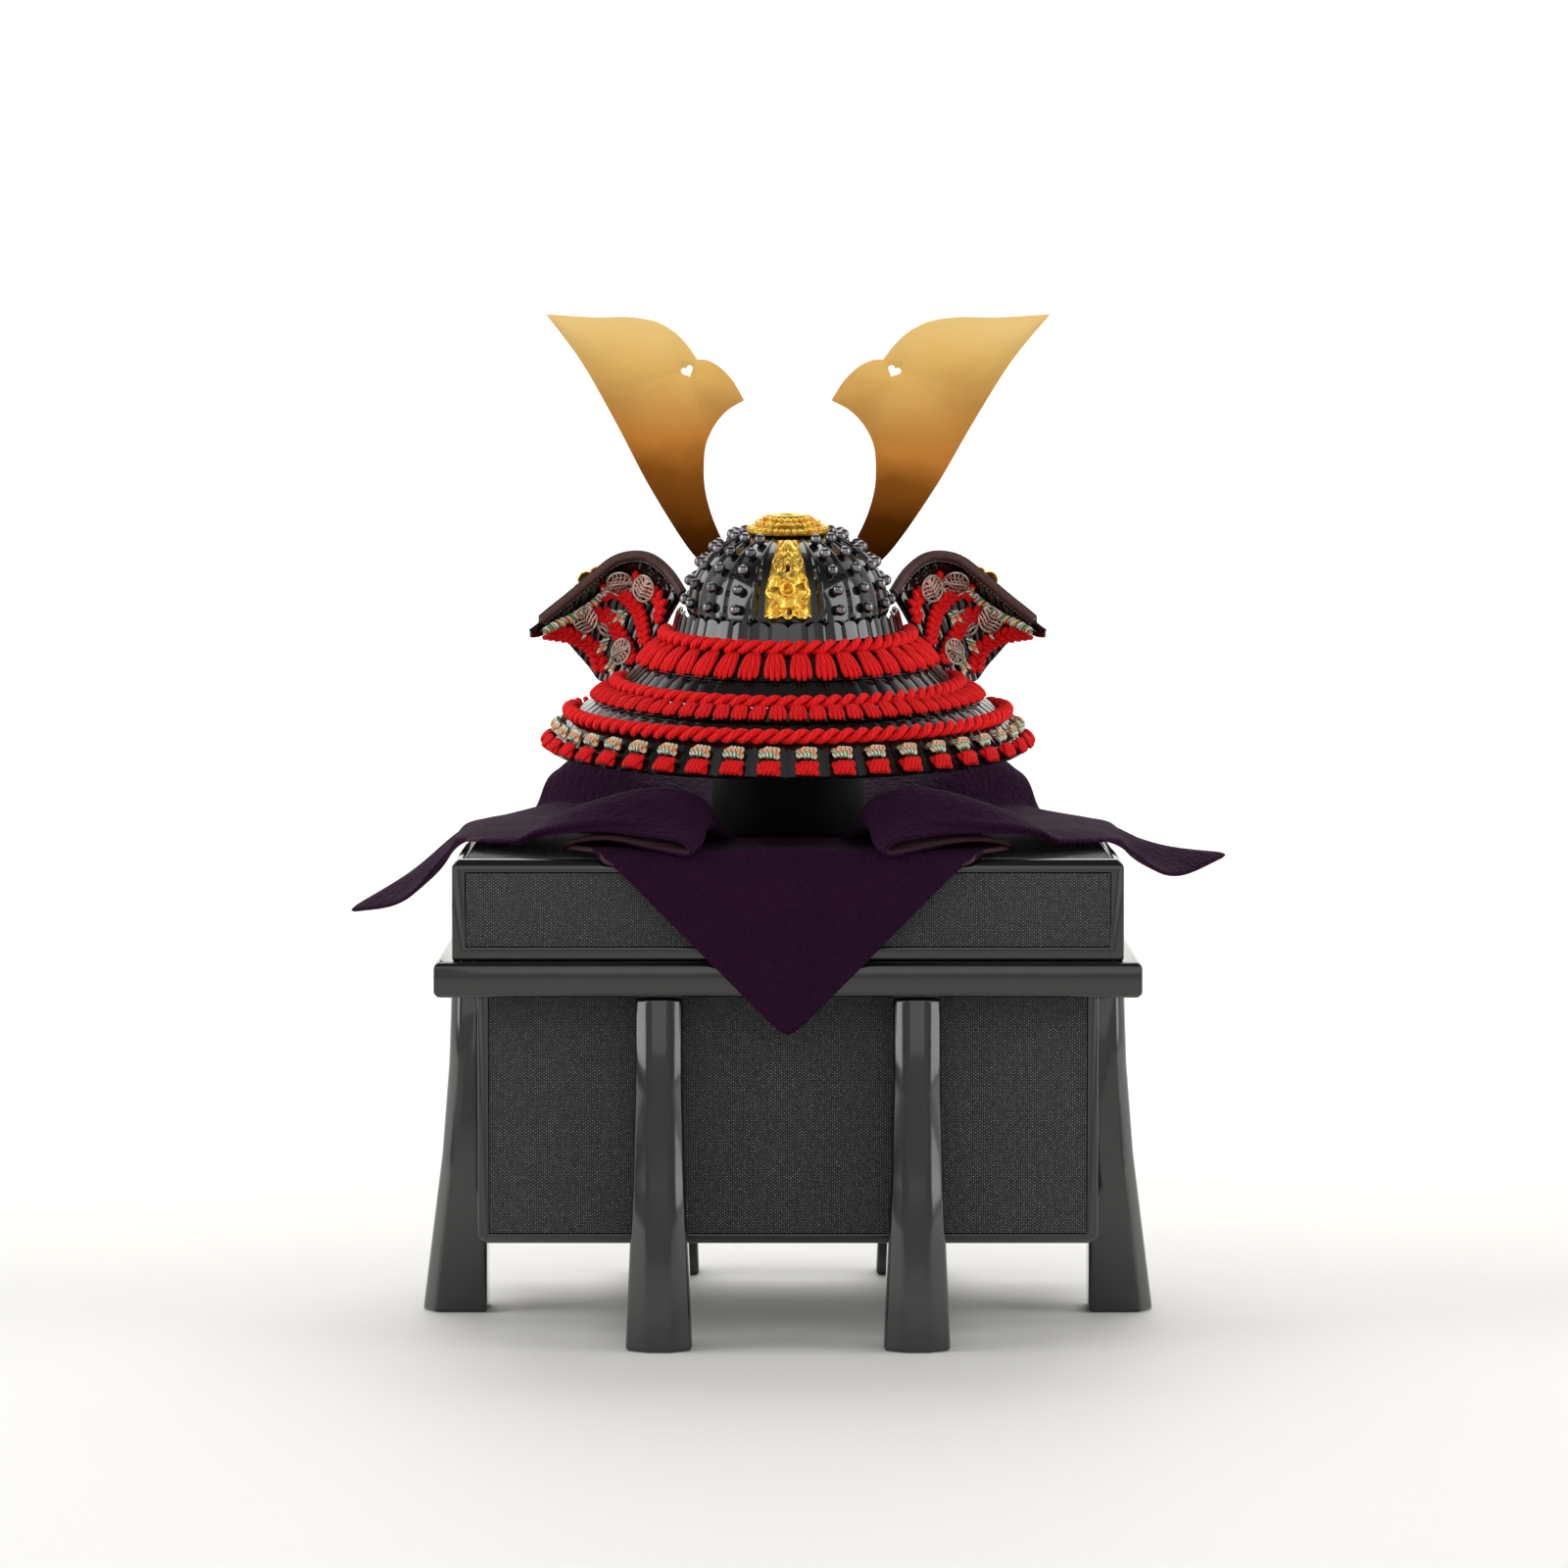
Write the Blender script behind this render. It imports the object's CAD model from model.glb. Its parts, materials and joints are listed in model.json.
"""Dresses a miniature samurai helmet that stands on a purple cloth over a lacquered chest.

Sizes are in millimetres in the classes and in metres in the finished meshes. The helmet leans back,
so its pieces are drawn in the helmet's own frame and placed through HELMET.
"""

import json
import logging
import math
import random
from dataclasses import dataclass, field
from enum import Enum
from typing import Callable, Dict, Iterable, List, Optional, Sequence, Tuple

import bmesh
import bpy
from mathutils import Matrix, Vector, noise

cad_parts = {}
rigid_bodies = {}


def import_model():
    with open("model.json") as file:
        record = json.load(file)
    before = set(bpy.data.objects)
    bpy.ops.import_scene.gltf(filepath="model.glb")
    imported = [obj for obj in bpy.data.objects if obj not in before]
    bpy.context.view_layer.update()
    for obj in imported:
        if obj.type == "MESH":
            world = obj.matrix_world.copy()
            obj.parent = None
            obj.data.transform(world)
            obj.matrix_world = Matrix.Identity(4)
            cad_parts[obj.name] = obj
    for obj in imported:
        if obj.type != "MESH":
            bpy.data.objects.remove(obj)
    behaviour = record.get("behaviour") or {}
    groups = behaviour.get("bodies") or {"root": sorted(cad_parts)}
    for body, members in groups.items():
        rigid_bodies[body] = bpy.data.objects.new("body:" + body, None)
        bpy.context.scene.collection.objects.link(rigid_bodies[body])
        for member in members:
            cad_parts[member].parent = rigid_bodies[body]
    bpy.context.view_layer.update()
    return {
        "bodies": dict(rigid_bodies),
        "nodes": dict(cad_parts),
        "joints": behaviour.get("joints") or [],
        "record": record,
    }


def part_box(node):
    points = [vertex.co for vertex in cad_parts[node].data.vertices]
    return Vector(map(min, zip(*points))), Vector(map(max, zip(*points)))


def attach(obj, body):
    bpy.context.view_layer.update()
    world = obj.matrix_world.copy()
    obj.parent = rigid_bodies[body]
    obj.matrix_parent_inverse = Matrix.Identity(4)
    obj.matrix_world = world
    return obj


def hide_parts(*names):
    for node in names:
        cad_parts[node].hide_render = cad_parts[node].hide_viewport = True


LOG = logging.getLogger("kabuto")
MM = 0.001
BODY = "root"
CHART = "UVMap"
NEARLY = 0.9999
HELMET = Matrix.Translation((0.0, 0.0, 275.0)) @ Matrix.Rotation(math.radians(4.0), 4, "X")
PLAIN = Matrix.Identity(4)

Colour = Tuple[float, float, float]
Place = Callable[[float, float], Vector]


class Side(Enum):
    """The two sides of the helmet, as the sign of X."""

    LEFT = -1
    RIGHT = 1


# ---------------------------------------------------------------- mesh tools


def new_mesh() -> bmesh.types.BMesh:
    """Makes an empty bmesh with a map."""
    bm = bmesh.new()
    bm.loops.layers.uv.new(CHART)
    return bm


def new_ball(radius: float, around: int, up: int) -> bmesh.types.BMesh:
    """Makes a ball round the origin, with its numbers of faces around and up."""
    bm = new_mesh()
    bmesh.ops.create_uvsphere(bm, u_segments=around, v_segments=up, radius=radius)
    return bm


def face_out(bm: bmesh.types.BMesh) -> None:
    """Turns all faces outwards."""
    bmesh.ops.recalc_face_normals(bm, faces=list(bm.faces))


def new_object(name: str, data: bpy.types.ID) -> bpy.types.Object:
    """Makes an object and links it to the scene."""
    thing = bpy.data.objects.new(name, data)
    bpy.context.scene.collection.objects.link(thing)
    return thing


def new_sheet(across: int, along: int, place: Place, wrap: bool = False) -> bmesh.types.BMesh:
    """Makes a grid and puts each of its corners where `place` says.

    Args:
        across: number of faces in the first direction.
        along: number of faces in the second direction.
        place: gives the point for two shares from 0 to 1.
        wrap: whether the second direction closes on itself, with both ends capped.

    Returns:
        A new bmesh with a map of the two shares.
    """
    bm = new_mesh()
    layer = bm.loops.layers.uv.active
    bmesh.ops.create_grid(bm, x_segments=across, y_segments=along, size=1.0, calc_uvs=False)
    shares = {v: (v.co.x / 2 + 0.5, v.co.y / 2 + 0.5) for v in bm.verts}
    for face in bm.faces:
        for loop in face.loops:
            loop[layer].uv = shares[loop.vert]
    for vert, (u, v) in shares.items():
        vert.co = place(u, v)
    if wrap:
        bmesh.ops.remove_doubles(bm, verts=list(bm.verts), dist=1e-4)
        rims = [e for e in bm.edges if e.is_boundary]
        bmesh.ops.holes_fill(bm, edges=rims, sides=0)
    return bm


def new_slab(across: int, along: int, face: Place, back: Place) -> bmesh.types.BMesh:
    """Makes a closed wall between two skins laid over the same grid.

    Args:
        across: number of faces in the first direction; it closes on itself where the ends meet.
        along: number of faces in the second direction.
        face: the outer skin.
        back: the inner skin.

    Returns:
        A new closed bmesh.
    """

    def place(u: float, v: float) -> Vector:
        """Goes up the outer skin and down the inner one."""
        k = round(v * 2 * (along + 1))
        if k <= along:
            return face(u, k / along)
        return back(u, (2 * along + 1 - k) / along) if k <= 2 * along + 1 else face(u, 0.0)

    return new_sheet(across, 2 * (along + 1), place, wrap=True)


def thicken(bm: bmesh.types.BMesh, thickness: float) -> None:
    """Gives an open sheet a wall.

    Args:
        bm: the sheet.
        thickness: the wall, in mm; the new side lies against the normals.
    """
    face_out(bm)
    bmesh.ops.solidify(bm, geom=list(bm.faces), thickness=thickness)


def soften(bm: bmesh.types.BMesh, width: float, segments: int = 2, above: float = 30.0) -> None:
    """Rounds the sharp edges.

    Args:
        bm: the mesh.
        width: the rounding, in mm.
        segments: number of faces over the rounding.
        above: angle in degrees from which an edge counts as sharp.
    """
    limit = math.radians(above)
    sharp = [e for e in bm.edges if len(e.link_faces) == 2 and e.calc_face_angle(0.0) > limit]
    bmesh.ops.bevel(
        bm,
        geom=sharp,
        offset=width,
        offset_type="OFFSET",
        segments=segments,
        profile=0.5,
        affect="EDGES",
        material=-1,
        clamp_overlap=True,
    )


class Piece:
    """Collects the parts of one finished piece."""

    def __init__(self, name: str) -> None:
        """Starts an empty piece.

        Args:
            name: the finished object's name.
        """
        self.name = name
        self.bm = new_mesh()

    def add(self, part: bmesh.types.BMesh, material: int = 0, turn: Matrix = PLAIN) -> None:
        """Adds a part and frees it.

        Args:
            part: the part, in mm.
            material: index of the part's material.
            turn: places the part before it is added.
        """
        part.transform(turn)
        for face in part.faces:
            face.material_index = material
        mesh = bpy.data.meshes.new("part")
        part.to_mesh(mesh)
        part.free()
        self.bm.from_mesh(mesh)
        bpy.data.meshes.remove(mesh)

    def mirror(self) -> None:
        """Turns the piece into its image on the other side of the middle."""
        self.bm.transform(Matrix.Scale(-1.0, 4, (1.0, 0.0, 0.0)))
        bmesh.ops.reverse_faces(self.bm, faces=list(self.bm.faces))

    def finish(
        self,
        slot: str,
        materials: Sequence[bpy.types.Material],
        nodes: Iterable[str] = (),
        frame: Matrix = HELMET,
        outwards: bool = True,
        smooth_below: float = 40.0,
    ) -> bpy.types.Object:
        """Makes the object, dresses it and lets it ride on the part.

        Args:
            slot: the record's material slot.
            materials: the materials in the order of their indices.
            nodes: the plain solids that the piece stands for.
            frame: places the piece's mm frame in the part's.
            outwards: whether the normals are worked out again.
            smooth_below: edges flatter than this many degrees are shaded smooth.

        Returns:
            The finished object.
        """
        self.bm.transform(Matrix.Scale(MM, 4) @ frame)
        if outwards:
            face_out(self.bm)
        limit = math.radians(smooth_below)
        for face in self.bm.faces:
            face.smooth = True
        for edge in self.bm.edges:
            edge.smooth = edge.calc_face_angle(0.0) < limit
        mesh = bpy.data.meshes.new(self.name)
        self.bm.to_mesh(mesh)
        self.bm.free()
        thing = new_object(self.name, mesh)
        for material in materials:
            mesh.materials.append(material)
        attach(thing, BODY)
        if nodes:
            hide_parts(*nodes)
        LOG.info("%s: %d faces", self.name, len(mesh.polygons))
        return thing


def strand(points: Sequence[Vector], outs: Sequence[Vector], radius: float, sides: int = 8,
           flat: float = 1.0, taper: float = 0.0) -> bmesh.types.BMesh:
    """Draws a yarn through the points.

    Args:
        points: the yarn's middle line.
        outs: the outward direction at each point, which the flattened side faces.
        radius: half the yarn's width.
        sides: corners of its section.
        flat: the yarn's thickness as a share of its width.
        taper: how much thinner the two ends are, from 0 to 1.

    Returns:
        A closed yarn with a map along and around it.
    """
    last = len(points) - 1
    frames = []
    for i, (point, out) in enumerate(zip(points, outs)):
        ahead = (points[min(i + 1, last)] - points[max(i - 1, 0)]).normalized()
        up = ahead.cross(out).normalized()
        frames.append((point, up.cross(ahead).normalized(), up))

    def place(u: float, v: float) -> Vector:
        """Returns the point on the yarn at share u along and v around it."""
        share = u * last
        point, out, up = frames[min(int(round(share)), last)]
        end = abs(2 * u - 1) ** 6
        size = radius * (1 - taper * end)
        turn = 2 * math.pi * v
        return point + out * (size * flat * math.cos(turn)) + up * (size * math.sin(turn))

    return new_sheet(last, sides, place, wrap=True)


def lathe(profile: Sequence[Tuple[float, float]], steps: int) -> bmesh.types.BMesh:
    """Spins a half profile round the Z axis.

    Args:
        profile: radius and height of each corner.
        steps: number of faces around.

    Returns:
        A closed turned shape.
    """
    bm = new_mesh()
    verts = [bm.verts.new((r, 0.0, z)) for r, z in profile]
    edges = [bm.edges.new(pair) for pair in zip(verts, verts[1:])]
    bmesh.ops.spin(bm, geom=verts + edges, cent=(0, 0, 0), axis=(0, 0, 1), angle=2 * math.pi,
                   steps=steps, use_merge=True, use_duplicate=False)
    bmesh.ops.remove_doubles(bm, verts=list(bm.verts), dist=1e-4)
    face_out(bm)
    return bm


def smooth_row(rows: Sequence[Sequence[float]], share: float) -> List[float]:
    """Reads a table between its rows on a smooth curve.

    Args:
        rows: the table's rows.
        share: place in the table, from 0 at its first row to the number of rows less one.

    Returns:
        The values of the row at that place.
    """
    last = len(rows) - 1
    k = max(0, min(int(share), last - 1))
    t = share - k
    a, b, c, d = (rows[max(0, min(last, k + i))] for i in (-1, 0, 1, 2))
    return [
        0.5 * (2 * q + (r - p) * t + (2 * p - 5 * q + 4 * r - s) * t * t + (3 * q - p - 3 * r + s) * t**3)
        for p, q, r, s in zip(a, b, c, d)
    ]


def on_path(rows: Sequence[Sequence[float]], share: float) -> List[float]:
    """Reads a table at a share of its length from 0 to 1, just short of its last row."""
    return smooth_row(rows, share * (len(rows) - 1) * NEARLY)


# ---------------------------------------------------------------- finishes


class Tree:
    """Adds nodes to one node tree."""

    def __init__(self, tree: bpy.types.NodeTree) -> None:
        """Takes the tree.

        Args:
            tree: the tree of a material or of a group.
        """
        self.tree = tree

    def add(
        self, kind: str, settings: Optional[Dict[str, object]] = None, **inputs: object
    ) -> bpy.types.Node:
        """Adds a node.

        Args:
            kind: the node's type.
            settings: attributes of the node.
            **inputs: values or sockets, with _ for a space in the input's name.

        Returns:
            The node.
        """
        node = self.tree.nodes.new(kind)
        for key, value in (settings or {}).items():
            setattr(node, key, value)
        return self.put(node, **inputs)

    def put(self, node: bpy.types.Node, **inputs: object) -> bpy.types.Node:
        """Sets or links inputs of a node, named as in `add`, and returns the node."""
        for key, value in inputs.items():
            self.feed(value, node.inputs[key.replace("_", " ")])
        return node

    def span(
        self, value: object, low: float = 0.0, high: float = 1.0, to: Tuple[float, float] = (0.0, 1.0)
    ) -> bpy.types.NodeSocket:
        """Maps the range from low to high onto the range `to`, and returns the output."""
        node = self.add("ShaderNodeMapRange", Value=value, From_Min=low, From_Max=high,
                        To_Min=to[0], To_Max=to[1])
        return node.outputs[0]

    def feed(self, value: object, socket: bpy.types.NodeSocket) -> None:
        """Sets or links an input.

        Args:
            value: a number, colour, vector or output socket.
            socket: the input.
        """
        if isinstance(value, bpy.types.NodeSocket):
            self.tree.links.new(value, socket)
        elif isinstance(value, tuple) and len(value) == 3 and socket.type == "RGBA":
            socket.default_value = (*value, 1.0)
        else:
            socket.default_value = value

    def math(self, operation: str, *values: object) -> bpy.types.NodeSocket:
        """Adds a Math node and returns its output."""
        node = self.tree.nodes.new("ShaderNodeMath")
        node.operation = operation
        for i, value in enumerate(values):
            self.feed(value, node.inputs[i])
        return node.outputs[0]

    def mix(self, share: object, first: object, second: object) -> bpy.types.NodeSocket:
        """Adds a colour Mix node and returns its output."""
        node = self.tree.nodes.new("ShaderNodeMix")
        node.data_type = "RGBA"
        self.feed(share, node.inputs[0])
        self.feed(first, node.inputs[6])
        self.feed(second, node.inputs[7])
        return node.outputs[2]

    def ramp(self, share: object, stops: Sequence[Tuple[float, Colour]]) -> bpy.types.NodeSocket:
        """Adds a colour ramp and returns its colour."""
        node = self.tree.nodes.new("ShaderNodeValToRGB")
        elements = node.color_ramp.elements
        elements[0].position, elements[0].color = stops[0][0], (*stops[0][1], 1.0)
        elements[1].position, elements[1].color = stops[-1][0], (*stops[-1][1], 1.0)
        for position, colour in stops[1:-1]:
            elements.new(position).color = (*colour, 1.0)
        self.feed(share, node.inputs[0])
        return node.outputs[0]


def new_group(name: str, inputs: Dict[str, float], outputs: Sequence[str]) -> Tuple[bpy.types.NodeTree, Tree]:
    """Starts a shader node group with named number inputs and outputs.

    Args:
        name: the group's name.
        inputs: default value by input name; a first input, Vector, is always added.
        outputs: names of the number outputs.

    Returns:
        The group and its tree.
    """
    group = bpy.data.node_groups.new(name, "ShaderNodeTree")
    group.interface.new_socket(name="Vector", in_out="INPUT", socket_type="NodeSocketVector")
    for key, value in inputs.items():
        socket = group.interface.new_socket(name=key, in_out="INPUT", socket_type="NodeSocketFloat")
        socket.default_value = value
    for key in outputs:
        group.interface.new_socket(name=key, in_out="OUTPUT", socket_type="NodeSocketFloat")
    return group, Tree(group)


class Effects:
    """The shared effects: grain, weave, yarn and patina, each a shader node group built once."""

    def __init__(self) -> None:
        """Builds the groups."""
        self.grain = self._grain()
        self.weave = self._weave()
        self.yarn = self._yarn()

    def _grain(self) -> bpy.types.NodeTree:
        """Returns the grain group: two sizes of noise as a height, and a cloudy mask."""
        group, tree = new_group("grain", {"Fine": 1500.0, "Broad": 60.0}, ("Height", "Cloud"))
        source = tree.add("NodeGroupInput").outputs
        fine = tree.add("ShaderNodeTexNoise", Vector=source["Vector"], Scale=source["Fine"], Detail=3.0)
        broad = tree.add("ShaderNodeTexNoise", Vector=source["Vector"], Scale=source["Broad"],
                         Detail=3.0)
        out = tree.add("NodeGroupOutput")
        tree.feed(fine.outputs["Fac"], out.inputs["Height"])
        tree.feed(broad.outputs["Fac"], out.inputs["Cloud"])
        return group

    def _weave(self) -> bpy.types.NodeTree:
        """Returns the weave group: over-and-under threads from a flat vector in thread counts."""
        group, tree = new_group("weave", {"Slub": 0.35}, ("Height", "Thread", "Glint"))
        source = tree.add("NodeGroupInput").outputs
        parts = tree.add("ShaderNodeSeparateXYZ", Vector=source["Vector"]).outputs
        wobble = tree.add("ShaderNodeTexNoise", Vector=source["Vector"], Scale=0.35, Detail=2.0)
        bend = tree.math("MULTIPLY", tree.math("SUBTRACT", wobble.outputs["Fac"], 0.5), source["Slub"])
        across = tree.math("ADD", parts["X"], bend)
        up = tree.math("ADD", parts["Y"], bend)

        def ridge(value: bpy.types.NodeSocket) -> bpy.types.NodeSocket:
            """Returns a rounded ridge once in each unit."""
            return tree.math("ABSOLUTE", tree.math("SINE", tree.math("MULTIPLY", value, math.pi)))

        def parity(value: bpy.types.NodeSocket) -> bpy.types.NodeSocket:
            """Returns 0 or 1 by turns."""
            return tree.math("MODULO", tree.math("ABSOLUTE", tree.math("FLOOR", value)), 2.0)

        over = tree.math("MODULO", tree.math("ADD", parity(across), parity(up)), 2.0)
        warp, weft = ridge(across), ridge(up)
        high = tree.math("MULTIPLY", tree.math("POWER", warp, 0.6), tree.math("POWER", weft, 0.6))
        lift = tree.math("ADD", tree.math("MULTIPLY", over, 0.45), 0.55)
        height = tree.math("MULTIPLY", high, lift)
        speck = tree.add("ShaderNodeTexNoise", Vector=source["Vector"], Scale=1.4, Detail=1.0)
        bright = tree.math("MULTIPLY", tree.math("POWER", height, 3.0), speck.outputs["Fac"])
        glint = tree.span(bright, 0.3, 0.62)
        out = tree.add("NodeGroupOutput")
        tree.feed(height, out.inputs["Height"])
        tree.feed(over, out.inputs["Thread"])
        tree.feed(glint, out.inputs["Glint"])
        return group

    def _yarn(self) -> bpy.types.NodeTree:
        """Returns the yarn group: twisted plies over a map along and around a cord."""
        group, tree = new_group("yarn", {"Plies": 5.0, "Twist": 18.0}, ("Height", "Turn"))
        source = tree.add("NodeGroupInput").outputs
        parts = tree.add("ShaderNodeSeparateXYZ", Vector=source["Vector"]).outputs
        around = tree.math("MULTIPLY", parts["Y"], source["Plies"])
        along = tree.math("MULTIPLY", parts["X"], source["Twist"])
        turn = tree.math("ADD", around, along)
        ridge = tree.math("ABSOLUTE", tree.math("SINE", tree.math("MULTIPLY", turn, math.pi)))
        fuzz = tree.add("ShaderNodeTexNoise", Vector=source["Vector"], Scale=90.0, Detail=2.0)
        height = tree.math("ADD", ridge, tree.math("MULTIPLY", fuzz.outputs["Fac"], 0.35))
        out = tree.add("NodeGroupOutput")
        tree.feed(height, out.inputs["Height"])
        tree.feed(tree.math("FRACT", tree.math("DIVIDE", turn, source["Plies"])), out.inputs["Turn"])
        return group


class Finish:
    """Makes one material and gives its node tree to the subclass."""

    name: str = "finish"

    def make(self, effects: Effects) -> bpy.types.Material:
        """Builds the material.

        Args:
            effects: the shared groups.

        Returns:
            The material.
        """
        material = bpy.data.materials.new(self.name)
        material.use_nodes = True
        tree = Tree(material.node_tree)
        shader = material.node_tree.nodes["Principled BSDF"]
        self.dress(tree, shader, effects)
        return material

    def dress(self, tree: Tree, shader: bpy.types.Node, effects: Effects) -> None:
        """Sets the shader; each finish has its own."""
        raise NotImplementedError


def object_place(tree: Tree) -> bpy.types.NodeSocket:
    """Returns the Object coordinates."""
    return tree.add("ShaderNodeTexCoord").outputs["Object"]


def grouped(tree: Tree, group: bpy.types.NodeTree, **inputs: object) -> bpy.types.Node:
    """Adds a shared group to a material.

    Args:
        tree: the material's tree.
        group: the shared group.
        **inputs: values or sockets by input name.

    Returns:
        The group's node.
    """
    return tree.add("ShaderNodeGroup", {"node_tree": group}, **inputs)


def bump(tree: Tree, shader: bpy.types.Node, height: object, distance: float, strength: float = 1.0) -> None:
    """Feeds a height to a shader's normal.

    Args:
        tree: the material's tree.
        shader: the shader.
        height: the height's socket, from 0 to 1.
        distance: what a height of 1 stands for, in metres.
        strength: strength of the effect.
    """
    node = tree.add("ShaderNodeBump", Height=height, Distance=distance, Strength=strength)
    tree.feed(node.outputs["Normal"], shader.inputs["Normal"])


@dataclass(frozen=True)
class Lacquer(Finish):
    """Deep black lacquer with a faint ripple and a little dust."""

    name: str = "lacquer"
    colour: Colour = (0.0045, 0.0045, 0.005)
    dust: Colour = (0.014, 0.014, 0.015)
    roughness: Tuple[float, float] = (0.07, 0.16)
    ripple: float = 0.00012

    def dress(self, tree: Tree, shader: bpy.types.Node, effects: Effects) -> None:
        """Sets the shader of the lacquer."""
        grain = grouped(tree, effects.grain, Vector=object_place(tree), Fine=900.0, Broad=38.0)
        cloud = grain.outputs["Cloud"]
        speck = tree.span(grain.outputs["Height"], 0.66, 0.8)
        tree.put(
            shader,
            Base_Color=tree.mix(speck, self.colour, self.dust),
            Roughness=tree.span(cloud, to=self.roughness),
            Coat_Weight=0.6,
            Coat_Roughness=0.04,
        )
        bump(tree, shader, cloud, self.ripple)


@dataclass(frozen=True)
class Linen(Finish):
    """Coarse black linen with pale glints on its crossings."""

    name: str = "linen"
    lying: bool = False
    pitch: Tuple[float, float] = (0.00084, 0.00058)
    dark: Colour = (0.003, 0.003, 0.0036)
    thread: Colour = (0.052, 0.052, 0.060)
    glint: Colour = (0.62, 0.62, 0.66)

    def dress(self, tree: Tree, shader: bpy.types.Node, effects: Effects) -> None:
        """Sets the shader of the linen; walls are woven along and up, the top along and across."""
        parts = tree.add("ShaderNodeSeparateXYZ", Vector=object_place(tree)).outputs
        along = parts["X"] if self.lying else tree.math("ADD", parts["X"], parts["Y"])
        up = parts["Y"] if self.lying else parts["Z"]
        flat = tree.add(
            "ShaderNodeCombineXYZ",
            X=tree.math("DIVIDE", along, self.pitch[0]), Y=tree.math("DIVIDE", up, self.pitch[1]),
        ).outputs[0]
        weave = grouped(tree, effects.weave, Vector=flat).outputs
        cloth = tree.mix(weave["Height"], self.dark, self.thread)
        tree.put(
            shader,
            Base_Color=tree.mix(weave["Glint"], cloth, self.glint),
            Roughness=tree.span(weave["Height"], to=(0.75, 0.42)),
        )
        bump(tree, shader, weave["Height"], 0.0005)


@dataclass(frozen=True)
class Crepe(Finish):
    """Matt crepe silk with a fine pebbled grain."""

    name: str = "crepe"
    colour: Colour = (0.0095, 0.0010, 0.0090)
    worn: Colour = (0.024, 0.0027, 0.0235)
    grain: float = 620.0
    depth: float = 0.0011
    sheen: float = 0.02

    def dress(self, tree: Tree, shader: bpy.types.Node, effects: Effects) -> None:
        """Sets the shader of the crepe."""
        place = object_place(tree)
        grain = grouped(tree, effects.grain, Vector=place, Fine=self.grain, Broad=55.0).outputs
        pebble = tree.add("ShaderNodeTexVoronoi", Vector=place, Scale=self.grain * 0.55)
        height = tree.math("ADD", grain["Height"], tree.math("MULTIPLY", pebble.outputs["Distance"], 0.6))
        share = tree.math("MULTIPLY", tree.math("ADD", grain["Cloud"], grain["Height"]), 0.5)
        tree.put(
            shader,
            Base_Color=tree.mix(share, self.colour, self.worn),
            Roughness=tree.span(grain["Height"], to=(0.98, 0.8)),
            Sheen_Weight=self.sheen,
            Sheen_Roughness=0.5,
            Sheen_Tint=(0.6, 0.35, 0.62, 1.0),
            Specular_IOR_Level=0.1,
        )
        bump(tree, shader, height, self.depth)


@dataclass(frozen=True)
class Cord(Finish):
    """Silk cord of twisted plies in one colour."""

    name: str = "red_cord"
    colour: Colour = (0.88, 0.010, 0.012)
    deep: Colour = (0.58, 0.003, 0.005)
    plies: float = 5.0
    twist: float = 1.6
    depth: float = 0.0004

    def dress(self, tree: Tree, shader: bpy.types.Node, effects: Effects) -> None:
        """Sets the shader of the cord."""
        chart = tree.add("ShaderNodeUVMap", {"uv_map": CHART}).outputs[0]
        yarn = grouped(tree, effects.yarn, Vector=chart, Plies=self.plies, Twist=self.twist).outputs
        grain = grouped(tree, effects.grain, Vector=object_place(tree), Fine=2600.0, Broad=180.0).outputs
        share = tree.math("MULTIPLY", yarn["Height"], tree.math("ADD", grain["Cloud"], 0.4))
        tree.put(
            shader,
            Base_Color=tree.mix(share, self.deep, self.colour),
            Roughness=tree.span(grain["Height"], to=(0.55, 0.85)),
            Sheen_Weight=0.08,
            Sheen_Tint=(1.0, 0.12, 0.1, 1.0),
            Specular_IOR_Level=0.14,
        )
        height = tree.math("ADD", yarn["Height"], tree.math("MULTIPLY", grain["Height"], 0.5))
        bump(tree, shader, height, self.depth)


@dataclass(frozen=True)
class Braid(Finish):
    """Braid of white, green, red and yellow threads, wound together."""

    name: str = "braid"
    plies: float = 2.0
    twist: float = 2.7

    def dress(self, tree: Tree, shader: bpy.types.Node, effects: Effects) -> None:
        """Sets the shader of the braid."""
        chart = tree.add("ShaderNodeUVMap", {"uv_map": CHART}).outputs[0]
        yarn = grouped(tree, effects.yarn, Vector=chart, Plies=self.plies, Twist=self.twist).outputs
        white, green = (0.92, 0.90, 0.84), (0.0, 0.30, 0.03)
        red, yellow = (0.80, 0.01, 0.01), (0.90, 0.58, 0.02)
        stops = [(0.0, white), (0.22, white), (0.25, green), (0.42, green), (0.45, white), (0.6, white),
                 (0.63, red), (0.78, red), (0.81, yellow), (0.9, yellow), (0.93, white), (1.0, white)]
        colour = tree.ramp(yarn["Turn"], stops)
        dark = tree.math("MULTIPLY", tree.math("SUBTRACT", 1.0, yarn["Height"]), 0.9)
        tree.put(
            shader,
            Base_Color=tree.mix(dark, colour, (0.08, 0.06, 0.04)),
            Roughness=tree.span(yarn["Height"], to=(0.8, 0.5)),
        )
        bump(tree, shader, yarn["Height"], 0.0003)


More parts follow.
